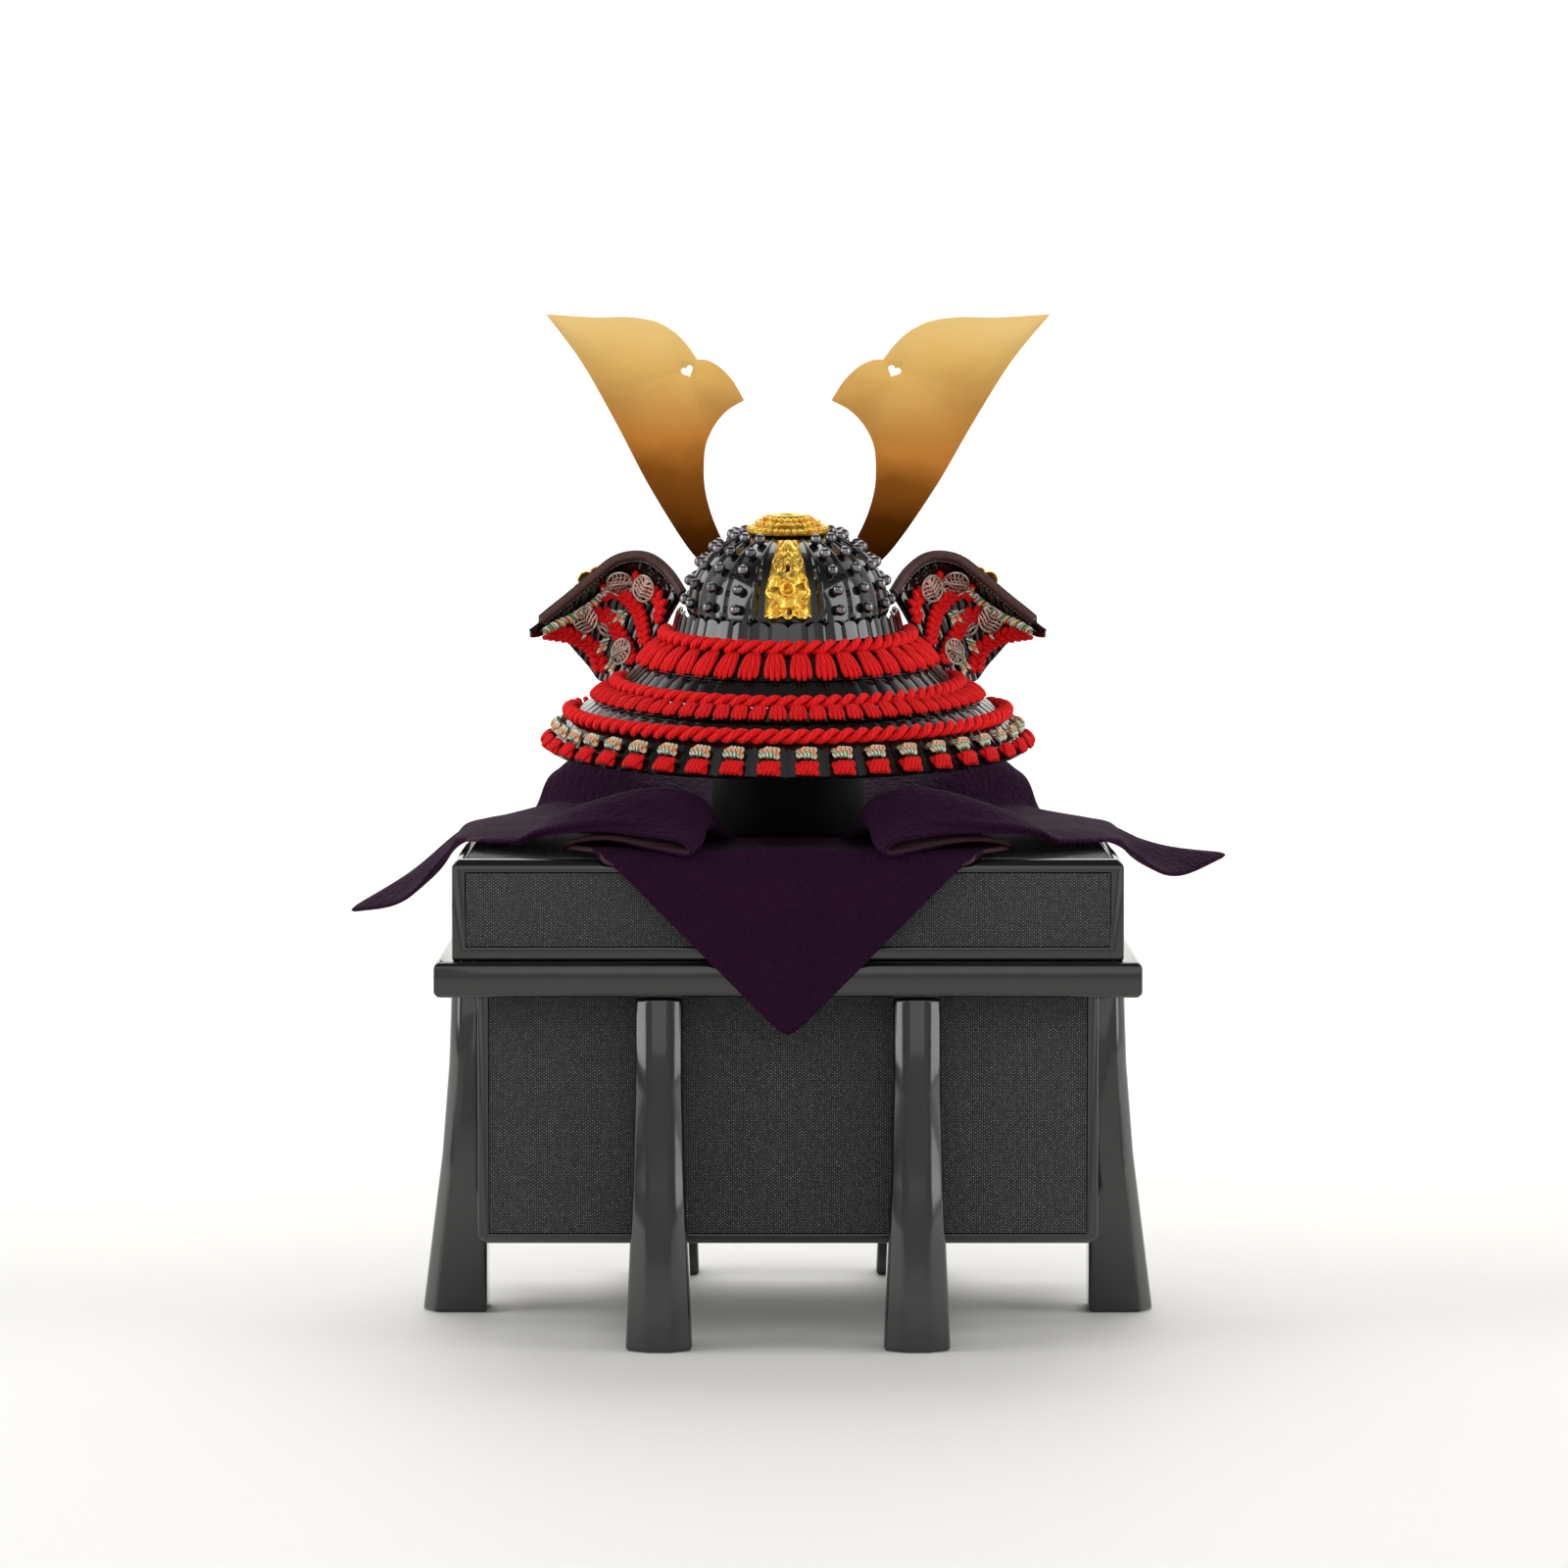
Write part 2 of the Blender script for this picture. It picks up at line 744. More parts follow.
@dataclass(frozen=True)
class Chased(Finish):
    """Chased metal whose hollows are darker than its worn high parts."""

    name: str = "gilt"
    high: Colour = (1.0, 0.70, 0.13)
    low: Colour = (0.62, 0.30, 0.025)
    roughness: Tuple[float, float] = (0.16, 0.42)
    chasing: float = 420.0
    depth: float = 0.0004

    def dress(self, tree: Tree, shader: bpy.types.Node, effects: Effects) -> None:
        """Sets the shader of the metal."""
        place = object_place(tree)
        grain = grouped(tree, effects.grain, Vector=place, Fine=2400.0, Broad=160.0).outputs
        cells = tree.add("ShaderNodeTexVoronoi", {"feature": "SMOOTH_F1"}, Vector=place, Scale=self.chasing)
        height = tree.math("ADD", cells.outputs["Distance"], tree.math("MULTIPLY", grain["Height"], 0.25))
        share = tree.span(height, 0.25, 0.85)
        tree.put(
            shader,
            Base_Color=tree.mix(share, self.high, self.low),
            Roughness=tree.span(grain["Cloud"], to=self.roughness),
            Metallic=1.0,
        )
        bump(tree, shader, tree.math("SUBTRACT", 1.0, height), self.depth)


@dataclass(frozen=True)
class HornBrass(Finish):
    """Brushed brass, coloured from dark bronze at its foot to pale gold at its tip."""

    name: str = "brass"
    foot: float = 0.288
    tip: float = 0.390

    def dress(self, tree: Tree, shader: bpy.types.Node, effects: Effects) -> None:
        """Sets the shader of the horns."""
        place = object_place(tree)
        parts = tree.add("ShaderNodeSeparateXYZ", Vector=place).outputs
        cloud = grouped(tree, effects.grain, Vector=place, Fine=1200.0, Broad=22.0).outputs
        height = tree.math("ADD", parts["Z"],
                           tree.math("MULTIPLY", tree.math("SUBTRACT", cloud["Cloud"], 0.5), 0.03))
        share = tree.span(height, self.foot, self.tip)
        stops = [(0.0, (0.025, 0.0055, 0.0006)), (0.2, (0.075, 0.020, 0.0015)), (0.36, (0.24, 0.078, 0.010)),
                 (0.5, (0.54, 0.21, 0.038)), (0.66, (0.56, 0.29, 0.075)), (0.84, (0.70, 0.43, 0.125)),
                 (1.0, (0.78, 0.53, 0.20))]
        tree.feed(tree.ramp(share, stops), shader.inputs["Base Color"])
        brushed = tree.add("ShaderNodeMapping", Vector=place, Scale=(18.0, 18.0, 2600.0)).outputs[0]
        lines = tree.add("ShaderNodeTexNoise", Vector=brushed, Scale=1.0, Detail=2.0).outputs["Fac"]
        tree.put(shader, Roughness=tree.span(lines, to=(0.28, 0.46)), Metallic=1.0)
        bump(tree, shader, lines, 0.00004)


@dataclass(frozen=True)
class Metal(Finish):
    """Cast or polished metal with slight stains."""

    name: str = "pewter"
    colour: Colour = (0.22, 0.21, 0.23)
    stain: Colour = (0.07, 0.065, 0.075)
    roughness: Tuple[float, float] = (0.10, 0.24)

    def dress(self, tree: Tree, shader: bpy.types.Node, effects: Effects) -> None:
        """Sets the shader of the metal."""
        grain = grouped(tree, effects.grain, Vector=object_place(tree), Fine=1800.0, Broad=300.0).outputs
        share = tree.span(grain["Cloud"], 0.4, 0.7)
        tree.put(
            shader,
            Base_Color=tree.mix(share, self.colour, self.stain),
            Roughness=tree.span(grain["Cloud"], to=self.roughness),
            Metallic=1.0,
        )
        bump(tree, shader, grain["Height"], 0.00006)


@dataclass(frozen=True)
class Leather(Finish):
    """Dark soft leather with pores and paler worn parts."""

    name: str = "leather"
    colour: Colour = (0.040, 0.012, 0.010)
    worn: Colour = (0.075, 0.028, 0.022)

    def dress(self, tree: Tree, shader: bpy.types.Node, effects: Effects) -> None:
        """Sets the shader of the leather."""
        place = object_place(tree)
        grain = grouped(tree, effects.grain, Vector=place, Fine=1400.0, Broad=120.0).outputs
        pores = tree.add("ShaderNodeTexVoronoi", Vector=place, Scale=900.0).outputs["Distance"]
        tree.put(
            shader,
            Base_Color=tree.mix(grain["Cloud"], self.colour, self.worn),
            Roughness=tree.span(grain["Height"], to=(0.5, 0.75)),
        )
        bump(tree, shader, tree.math("ADD", pores, grain["Height"]), 0.00022)


@dataclass(frozen=True)
class Wood(Finish):
    """Turned wood painted black, with its long grain still showing."""

    name: str = "wood"
    light: Colour = (0.0022, 0.002, 0.002)
    dark: Colour = (0.001, 0.001, 0.001)

    def dress(self, tree: Tree, shader: bpy.types.Node, effects: Effects) -> None:
        """Sets the shader of the wood."""
        place = tree.add("ShaderNodeMapping", Vector=object_place(tree),
                         Scale=(1.0, 1.0, 0.08)).outputs[0]
        grain = grouped(tree, effects.grain, Vector=place, Fine=1600.0, Broad=420.0).outputs
        tree.put(
            shader,
            Base_Color=tree.mix(grain["Cloud"], self.light, self.dark),
            Roughness=tree.span(grain["Height"], to=(0.5, 0.7)),
            Specular_IOR_Level=0.12,
        )
        bump(tree, shader, grain["Height"], 0.0001)


class Finishes:
    """All materials of the object by name."""

    def __init__(self) -> None:
        """Builds the materials."""
        effects = Effects()
        crepe_lining = Crepe("lining", (0.040, 0.017, 0.024), (0.070, 0.032, 0.042), 900.0, 0.0004, 0.03)
        scale = Lacquer("scale", (0.004, 0.0035, 0.0035), (0.03, 0.03, 0.03), (0.06, 0.16), 0.0001)
        kinds = [
            Lacquer(), Linen(), Linen("linen_top", True), Crepe(), crepe_lining, scale, Cord(),
            Cord("red_rope", plies=5.0, twist=70.0), Braid(), Braid("braid_long", 4.0, 44.0), Chased(),
            HornBrass(), Metal(),
            Metal("rose_metal", (0.54, 0.42, 0.35), (0.26, 0.19, 0.15), (0.3, 0.46)), Leather(), Wood(),
            Cord("thread", (0.42, 0.40, 0.37), (0.2, 0.19, 0.18), 3.0, 40.0, 0.0001),
        ]
        self.by_name: Dict[str, bpy.types.Material] = {kind.name: kind.make(effects) for kind in kinds}

    def __getitem__(self, name: str) -> bpy.types.Material:
        """Returns the material of that name."""
        return self.by_name[name]


# ---------------------------------------------------------------- chest


def eased_copy(node: bpy.types.Object, width: float, segments: int = 3) -> bmesh.types.BMesh:
    """Copies a plain solid, merges its corners and rounds its edges.

    Args:
        node: the plain solid.
        width: the rounding, in mm.
        segments: number of faces over the rounding.

    Returns:
        The rounded copy, in mm.
    """
    bm = bmesh.new()
    bm.from_mesh(node.data)
    for name in list(bm.loops.layers.uv.keys()):
        bm.loops.layers.uv.remove(bm.loops.layers.uv[name])
    bm.loops.layers.uv.new(CHART)
    bm.transform(Matrix.Scale(1 / MM, 4))
    bmesh.ops.remove_doubles(bm, verts=list(bm.verts), dist=0.002)
    bmesh.ops.dissolve_limit(bm, angle_limit=math.radians(1.0), verts=list(bm.verts), edges=list(bm.edges))
    soften(bm, width, segments, above=20.0)
    return bm


@dataclass
class Chest:
    """The lacquered chest, its rim, its lift-off lid and its six flared legs."""

    ease: float = 0.7
    leg_ease: float = 1.6

    def build(self, nodes: Dict[str, bpy.types.Object], finishes: Finishes) -> None:
        """Dresses the chest.

        Args:
            nodes: the plain solids by name.
            finishes: the materials.
        """
        for name in ("chest_body", "chest_rim", "chest_lid"):
            piece = Piece("lacquered_" + name)
            piece.add(eased_copy(nodes[name], self.ease))
            piece.finish("lacquer", [finishes["lacquer"]], [name], PLAIN, outwards=False, smooth_below=50.0)
        for name in nodes:
            if name.startswith("leg_"):
                piece = Piece("lacquered_" + name)
                piece.add(eased_copy(nodes[name], self.leg_ease, 4))
                piece.finish("lacquer", [finishes["lacquer"]], [name], PLAIN, outwards=False,
                             smooth_below=50.0)
            elif name == "lid_panel_top":
                self.cover(nodes[name], finishes["linen_top"])
            elif "panel" in name:
                self.cover(nodes[name], finishes["linen"])

    @staticmethod
    def cover(node: bpy.types.Object, material: bpy.types.Material) -> None:
        """Gives a plain solid a material and keeps its shape."""
        node.data.materials.clear()
        node.data.materials.append(material)


# ---------------------------------------------------------------- cloth


@dataclass
class Cloth:
    """The square crepe cloth, folded into a flap over the lid's edge and pleats beside it."""

    level: float = 188.4
    foot: float = 33.0
    crest: float = 0.74
    hang_top: float = 184.6
    hang_out: float = 103.3
    hang_slope: float = 0.133
    lid_side: float = 128.0
    side_tip: float = 174.0
    sag: float = 2.0
    droop: float = 6.5  # how far the near hem hangs below the far one, at a corner beyond the lid
    thickness: float = 1.7
    # the lid's edge, over which the cloth bends, along x and y, and where the flap bends
    edge_x: float = 125.5
    edge_y: float = 97.0
    flap_edge: float = 97.5
    # stations turned by less than this, in degrees, are the flap's
    flap_turn: float = 15.0
    # how far the two side corners drop below the lid
    drop_left: float = 29.0
    drop_right: float = 6.0
    # x, y, z, rise of the hem before the helmet, lift behind, lift before and direction of the
    # stations from the flap to the side corner
    rows: List[Tuple[float, ...]] = field(
        default_factory=lambda: [
            (0, -111.5, 118, 0, 0, 0, 0), (34, -107, 152, 0, 0, 0, 7), (66, -103.6, 184, 0, 0, 0, 13),
            (73, -95.4, 188.6, 0, 0, 0, 18), (84, -84, 190, 0, 1, 1, 23), (74, -90, 192.4, 0, 4, 4, 27),
            (52, -100, 190.6, 0, 7, 7, 31), (37.5, -108.5, 189, 0, 9, 9, 35), (41, -107, 194, 3, 16, 15, 41),
            (60, -102, 196, 6, 18, 17, 48), (82, -95, 195.6, 9, 13, 17, 56), (95, -86, 193.8, 9, 9.5, 13, 61),
            (100.5, -80, 191.4, 0, 8, 6, 64), (106, -72, 190, 0, 6.6, 5, 68),
            (127, -48, 188.4, 0, 4.6, 4, 76), (150, -25, 182.8, 0, 4.6, 4.6, 84),
            (174, 0, 186.4, 0, 4.6, 4.6, 90),
        ]
    )

    def column(self, row: Sequence[float], far: bool, right: bool) -> List[Vector]:
        """Returns the cloth's points from the middle to the hem at one station.

        Args:
            row: the station's values.
            far: whether it lies before the helmet.
            right: whether it lies on the +X side.
        """
        x, y, z, puff, lift_near, lift_far, turn = row
        lift = lift_far if far else lift_near
        past = max(0.0, (x - self.lid_side) / (self.side_tip - self.lid_side))
        z += puff if far else -self.droop * math.sin(math.pi * min(1.0, past))
        drop = self.drop_right if right else self.drop_left
        out = Vector((x + (0.4 * past if right else 0.0), y, z - drop * past**1.2))
        angle = math.radians(turn)
        foot = Vector((math.sin(angle) * self.foot, -math.cos(angle) * self.foot, self.level))
        reach = min(1.0, self.edge_y / abs(out.y or 1), self.edge_x / abs(out.x or 1))
        brow = Vector((out.x * reach, out.y * reach, max(out.z, self.level) + lift * 0.3))
        top = foot.lerp(brow, self.crest)
        top.z = self.level + (max(z, self.level) - self.level) * self.crest + lift
        if turn < self.flap_turn:
            brow = Vector((out.x, -self.flap_edge, self.level))
            hem = [
                Vector((out.x, -self.hang_out - (self.hang_top - h) * self.hang_slope, h))
                for h in (self.hang_top, z)
            ]
            return [Vector((0, 0, self.level)), foot, top, brow, *hem]
        between = brow.lerp(out, 0.5)
        if out.z < self.level - 1:
            between.z -= self.sag
        return [Vector((0, 0, self.level)), foot, top, brow, between, out]

    def build(self, finishes: Finishes) -> None:
        """Models the cloth as one smooth sheet with a lining on its underside."""
        ring = []
        for sx, sy in ((1, 1), (1, -1), (-1, -1), (-1, 1)):
            rows = self.rows if sx * sy > 0 else self.rows[::-1]
            for row in rows[:-1]:
                points = self.column(row, sy < 0, sx > 0)
                ring.append([Vector((p.x * sx, p.y * sy, p.z)) for p in points])
        count, depth = len(ring), len(ring[0]) - 1
        steps_around, steps_out = 5, 6
        total = count * steps_around

        def at(u: float, v: float) -> Vector:
            """Returns the sheet's point at share u around and v from the middle to the hem."""
            station = u * count
            k = int(station) % count
            before, here, there, after = (
                [c for p in ring[(k + i) % count] for c in p] for i in (-1, 0, 1, 2)
            )
            if k % (count // 4) == 0:  # a corner of the cloth stays pointed
                before = [2 * a - b for a, b in zip(here, there)]
            if (k + 1) % (count // 4) == 0:
                after = [2 * b - a for a, b in zip(here, there)]
            flat = smooth_row([before, here, there, after], 1 + station - int(station))
            levels = [flat[i : i + 3] for i in range(0, len(flat), 3)]
            return Vector(smooth_row(levels, 0.02 + v * (depth - 0.02)))

        bm = new_sheet(total, depth * steps_out, at)
        bmesh.ops.remove_doubles(bm, verts=list(bm.verts), dist=0.05)
        middle = [e for e in bm.edges if e.is_boundary and max(v.co.xy.length for v in e.verts) < 3]
        bmesh.ops.holes_fill(bm, edges=middle, sides=0)
        bmesh.ops.smooth_vert(bm, verts=[v for v in bm.verts if not v.is_boundary], factor=0.3,
                              use_axis_x=True, use_axis_y=True, use_axis_z=True)
        self.crumple(bm)
        face_out(bm)
        up = max(bm.faces, key=lambda f: f.calc_center_median().z)
        if up.normal.z < 0:
            bmesh.ops.reverse_faces(bm, faces=list(bm.faces))
        piece = Piece("crepe_cloth")
        piece.add(bm)
        cloth = piece.finish("crepe", [finishes["crepe"], finishes["lining"]], ["cloth"], PLAIN,
                             outwards=False, smooth_below=180.0)
        wall = cloth.modifiers.new("wall", "SOLIDIFY")
        wall.thickness = self.thickness * MM
        wall.offset = 0.0
        wall.material_offset = 1
        wall.use_quality_normals = True
        round_off = cloth.modifiers.new("soft", "SUBSURF")
        round_off.levels = round_off.render_levels = 1

    @staticmethod
    def crumple(bm: bmesh.types.BMesh) -> None:
        """Moves the sheet a little, so that no fold is quite even."""
        still, fade, lid_top = 30.0, 40.0, 187.0
        bm.normal_update()
        for vert in bm.verts:
            far = vert.co.xy.length
            free = min(1.0, max(0.0, (far - still) / fade))
            if vert.co.z < lid_top:
                free *= 0.35
            wave = noise.noise(vert.co * 0.022) * 1.3 + noise.noise(vert.co * 0.06) * 0.5
            vert.co.z += max(wave * free, -0.6) if vert.co.z > lid_top else 0.0
            if vert.co.z < lid_top:
                vert.co.y += wave * free * (-0.6 if vert.co.y < 0 else 0.6) * 0.5


# ---------------------------------------------------------------- bowl


@dataclass
class Bowl:
    """The ribbed iron bowl with its rivets, crown rings and cast ornament."""

    half_width: float = 38.8
    half_length: float = 44.8
    height: float = 34.0
    roundness: float = 2.2
    band: float = 5.0
    wall: float = 1.6
    plates: int = 18
    rib: float = 1.7
    rib_width: float = 1.9
    rivet: float = 2.3
    bead_height: float = 0.75  # as a share of a bead's width
    rivet_heights: Tuple[float, ...] = (5.8, 12.8, 19.6, 25.2, 29.6)
    rivet_columns: Tuple[float, ...] = (30, 50, 70, 90, 110, 130)

    def shape(self, z: float, inset: float = 0.0) -> float:
        """Returns the dome's radius as a share of its base at height z."""
        if z <= 0:
            return 1.0
        return max(0.0, 1 - (z / (self.height - inset)) ** self.roundness) ** (1 / self.roundness)

    def point(self, angle: float, z: float, proud: float, inset: float = 0.0) -> Vector:
        """Returns a point of the bowl; the angle is in degrees from the back."""
        share, a = self.shape(z, inset), math.radians(angle)
        rx = (self.half_width - inset) * share + proud
        ry = (self.half_length - inset) * share + proud
        return Vector((rx * math.sin(a), -ry * math.cos(a), z))

    def normal(self, angle: float, z: float) -> Vector:
        """Returns the direction straight out of the bowl."""
        here = self.point(angle, z, 0)
        across = self.point(angle + 1, z, 0) - here
        up = self.point(angle, z + 0.3, 0) - here
        return across.cross(up).normalized()

    def build(self, finishes: Finishes) -> None:
        """Builds the bowl and what is fastened to it."""
        self.build_shell(finishes)
        self.build_finial(finishes)
        self.build_ornament(finishes)

    def build_shell(self, finishes: Finishes) -> None:
        """Builds the ribbed shell with its rolled foot and its rivets."""
        top = 0.985

        def height(v: float) -> float:
            """Returns the height of a row of the shell as a share of its crown."""
            return top * math.sin((v * 1.2 - 0.2) * math.pi / 2) if v > 1 / 6 else 0.0

        def outer(u: float, v: float) -> Vector:
            """Returns the outer skin with a slim raised fin at each plate's edge."""
            angle = 360 * u
            z = height(v) * self.height if v > 1 / 6 else -self.band * (1 - 6 * v)
            place = (angle / 360 * self.plates) % 1
            to_rib = min(place, 1 - place) * 360 / self.plates
            rise = max(0.0, 1 - (to_rib / self.rib_width) ** 4) if to_rib < self.rib_width else 0.0
            fade = min(1.0, max(0.0, (z - 0.5) / 2)) * min(1.0, self.shape(z) * 2.4)
            return self.point(angle, z, self.rib * rise * fade)

        def inner(u: float, v: float) -> Vector:
            """Returns the smooth inner skin."""
            z = height(v) * (self.height - self.wall) if v > 1 / 6 else -self.band * (1 - 6 * v)
            return self.point(360 * u, z, 0, self.wall)

        bm = new_slab(self.plates * 24, 36, outer, inner)
        piece = Piece("ribbed_bowl")
        piece.add(bm)
        hem = [self.point(a * 3.0, -self.band, -0.5) for a in range(121)]
        outs = [Vector((p.x, p.y, 0)).normalized() for p in hem]
        piece.add(strand(hem, outs, 1.0, 8))
        for side in Side:
            for angle in self.rivet_columns:
                for z in self.rivet_heights:
                    self.add_rivet(piece, angle * side.value, z)
        piece.finish("lacquer", [finishes["lacquer"], finishes["pewter"]], ["bowl"], smooth_below=46.0)

    def add_rivet(self, piece: Piece, angle: float, z: float) -> None:
        """Adds a round-headed rivet."""
        out = self.normal(angle, z)
        foot = self.point(angle, z, -0.4)
        turn = Matrix.Translation(foot) @ out.to_track_quat("Z", "Y").to_matrix().to_4x4()
        ball = new_ball(self.rivet, 14, 9)
        bmesh.ops.translate(ball, verts=list(ball.verts), vec=(0, 0, self.rivet * 1.02))
        piece.add(ball, 1, turn)

    def build_finial(self, finishes: Finishes) -> None:
        """Builds the crown's stacked rings: petals, beads and a collar round the opening."""
        piece = Piece("crown_rings")
        base = self.height
        profile = [(3.0, base + 1.2), (4.6, base + 0.6), (16.0, base - 1.2), (16.3, base - 0.5),
                   (15.4, base + 0.7), (13.4, base + 1.2), (12.8, base + 2.4), (11.6, base + 2.9),
                   (10.4, base + 2.9), (9.8, base + 4.0), (8.6, base + 4.5), (7.2, base + 4.4),
                   (6.8, base + 5.4), (5.6, base + 5.9), (4.4, base + 5.7), (3.4, base + 4.8),
                   (3.0, base + 1.2)]
        piece.add(lathe(profile, 64))
        pressed = Matrix.Scale(self.bead_height, 4, (0, 0, 1))
        for ring, radius, size, height in ((40, 15.2, 1.15, 0.6), (30, 12.0, 1.0, 2.9), (24, 9.2, 0.9, 4.6)):
            for k in range(ring):
                turn = 2 * math.pi * k / ring
                spot = Vector((radius * math.cos(turn), radius * math.sin(turn), base + height))
                piece.add(new_ball(size, 8, 6), 0, Matrix.Translation(spot) @ pressed)
        piece.finish("gilt", [finishes["gilt"]], ["finial"], smooth_below=50.0,
                     frame=HELMET @ Matrix.Translation((0, -2.2, 0)))

    def build_ornament(self, finishes: Finishes) -> None:
        """Builds the cast flower plate on the bowl's back, with leaves, a rosette and two holes."""
        rows = [(2.6, 8.7), (5.4, 8.5), (8.4, 7.0), (12.6, 8.6), (16.6, 7.9), (20.2, 5.7), (24.4, 6.0),
                (28.4, 4.4), (30.6, 3.9)]

        def relief(x: float, z: float) -> float:
            """Returns the height of the carving at a place on the plate."""
            away = math.hypot(x, z - 13.6)
            turn = math.atan2(z - 13.6, x)
            rise = 0.0
            if away < 7.4:
                petal = abs(math.cos(2.5 * turn + 0.5))
                rise = (1.5 + 0.9 * petal * math.sin(min(1.0, away / 5.2) * math.pi / 2)
                        - 0.5 * (away > 4.9) * (1 - petal))
                if away < 3.4:
                    rise = 2.3 + 0.7 * math.cos((away - 2.2) * 2.6)
                rise -= 2.4 if away < 1.1 else 0.0
                rise *= 1 - max(0.0, away - 6.4)
            scroll = math.sin(z * 1.25 + abs(x) * 1.1) * math.cos(x * 1.05)
            curl = noise.noise(Vector((abs(x) * 0.5, z * 0.5, 3.0)))
            pits = math.hypot(x - 0.6, z - 5.8) < 0.95 or abs(x) < 0.75 and 19.6 < z < 22.0
            return -0.9 if pits else max(rise, 0.75 + 0.75 * abs(scroll) + 0.5 * curl)

        def spot(u: float, v: float, lift: float) -> Vector:
            """Returns a point `lift` mm off the bowl at share u across and v up the plate."""
            z, half = on_path(rows, v)
            x = (2 * u - 1) * (half + 0.45 * math.sin(v * 38))
            reach = self.half_width * self.shape(z) + 1
            angle = math.degrees(math.asin(max(-0.99, min(0.99, x / reach))))
            low = z - 0.9 * math.cos(x * 1.1) * (1 - v) ** 12
            return self.point(angle, low, 0) + self.normal(angle, z) * lift

        def place(u: float, v: float) -> Vector:
            """Returns the plate's carved face."""
            z, half = on_path(rows, v)
            edge = min(1.0, (1 - abs(2 * u - 1)) * 9, (1 - v) * 16, v * 16)
            return spot(u, v, 1.0 + 1.05 * (edge * relief((2 * u - 1) * half, z)))

        bm = new_slab(64, 110, place, lambda u, v: spot(u, v, -0.2))
        piece = Piece("flower_plate")
        piece.add(bm)
        piece.finish("gilt", [finishes["gilt"]], ["rear_ornament"], smooth_below=60.0)


# ---------------------------------------------------------------- horns


@dataclass
class Horns:
    """The two swept horns of thin brass with a heart cut in each, and their gilt mount."""

    thickness: float = 1.1
    lean: float = 8.6
    foot_y: float = 49.0
    foot_z: float = 2.2
    heart: Tuple[float, float, float] = (41.3, 90.0, 2.6)
    heart_turn: float = -25.0
    # how much wider than drawn each horn is beyond its inner point, which is at `spread_from`
    spread: Dict[Side, float] = field(default_factory=lambda: {Side.LEFT: -0.045, Side.RIGHT: 0.055})
    spread_from: float = 17.5
    # outline of the +X horn, as runs that meet at corners
    runs: List[List[Tuple[float, float]]] = field(
        default_factory=lambda: [
            [(15, 0.5), (25, 0.5)], [(25, 0.5), (26.4, 6.8)],
            [(26.4, 6.8), (39.2, 16.8), (56.7, 42.8), (71, 68.7), (85.7, 93.5), (100.7, 112.8)],
            [(100.7, 112.8), (81, 111.5), (66, 111.6), (55, 109.9), (47, 105.8), (41.5, 100.5), (37.2, 94.6)],
            [(37.2, 94.6), (33, 94.3), (28, 91.8), (23, 87), (19.8, 82.3), (17.5, 78.2)],
            [(17.5, 78.2), (24.5, 74.2), (30, 68), (33.6, 60), (34.4, 50), (33.6, 41), (30.5, 30.5), (25, 19),
             (20, 11.5), (16.4, 6.8)],
            [(16.4, 6.8), (15, 0.5)],
        ]
    )

    def outline(self) -> List[Vector]:
        """Returns the outline's points in order."""
        points: List[Vector] = []
        for run in self.runs:
            steps = 1 if len(run) == 2 else 7 * (len(run) - 1)
            for i in range(steps):
                points.append(Vector((*smooth_row(run, i * (len(run) - 1) / steps), 0.0)))
        return points

    def build(self, finishes: Finishes, nodes: Dict[str, bpy.types.Object]) -> None:
        """Builds both horns and dresses their mount."""
        for side in Side:
            self.build_horn(side, finishes)
        piece = Piece("mount_plate")
        piece.add(eased_copy(nodes["horn_mount"], 0.25, 2))
        piece.finish("gilt", [finishes["gilt"]], ["horn_mount"], PLAIN, outwards=False)
        peak = Piece("peak")
        peak.add(eased_copy(nodes["visor"], 0.4, 2))
        peak.finish("lacquer", [finishes["lacquer"]], ["visor"], PLAIN, outwards=False, smooth_below=60.0)

    def build_horn(self, side: Side, finishes: Finishes) -> None:
        """Builds one horn from its outline."""
        cx, cz, size = self.heart
        turn = Matrix.Rotation(math.radians(self.heart_turn), 3, "Z")
        hole = []
        for i in range(28):
            t = i / 28 * 2 * math.pi
            up = (13 * math.cos(t) - 5 * math.cos(2 * t) - 2 * math.cos(3 * t) - math.cos(4 * t)) / 16
            corner = Vector((size * math.sin(t) ** 3, size * up, 0.0))
            hole.append(turn @ corner + Vector((cx, cz, 0.0)))
        bm = new_mesh()
        edges = []
        for loop in (self.outline(), hole):
            verts = [bm.verts.new(p) for p in loop]
            edges += [bm.edges.new((a, b)) for a, b in zip(verts, verts[1:] + verts[:1])]
        bmesh.ops.triangle_fill(bm, edges=edges, use_beauty=True, use_dissolve=False)
        flat = list(bm.faces)
        bmesh.ops.recalc_face_normals(bm, faces=flat)
        grown = bmesh.ops.extrude_face_region(bm, geom=flat)
        moved = [g for g in grown["geom"] if isinstance(g, bmesh.types.BMVert)]
        bmesh.ops.translate(bm, verts=moved, vec=(0, 0, self.thickness))
        face_out(bm)
        soften(bm, 0.22, 2, above=60.0)
        for vert in bm.verts:
            vert.co.x += self.spread[side] * max(0.0, vert.co.x - self.spread_from)
            vert.co.z -= self.thickness / 2
        place = (
            Matrix.Translation((0, self.foot_y, self.foot_z))
            @ Matrix.Rotation(math.radians(90 - self.lean), 4, "X")
        )
        piece = Piece(f"brass_horn_{side.name.lower()}")
        piece.add(bm, 0, place)
        if side is Side.LEFT:
            piece.mirror()
        piece.finish("brass", [finishes["brass"]], [f"horn_{side.name.lower()}"], outwards=False,
                     smooth_below=35.0)


# ---------------------------------------------------------------- neck guard


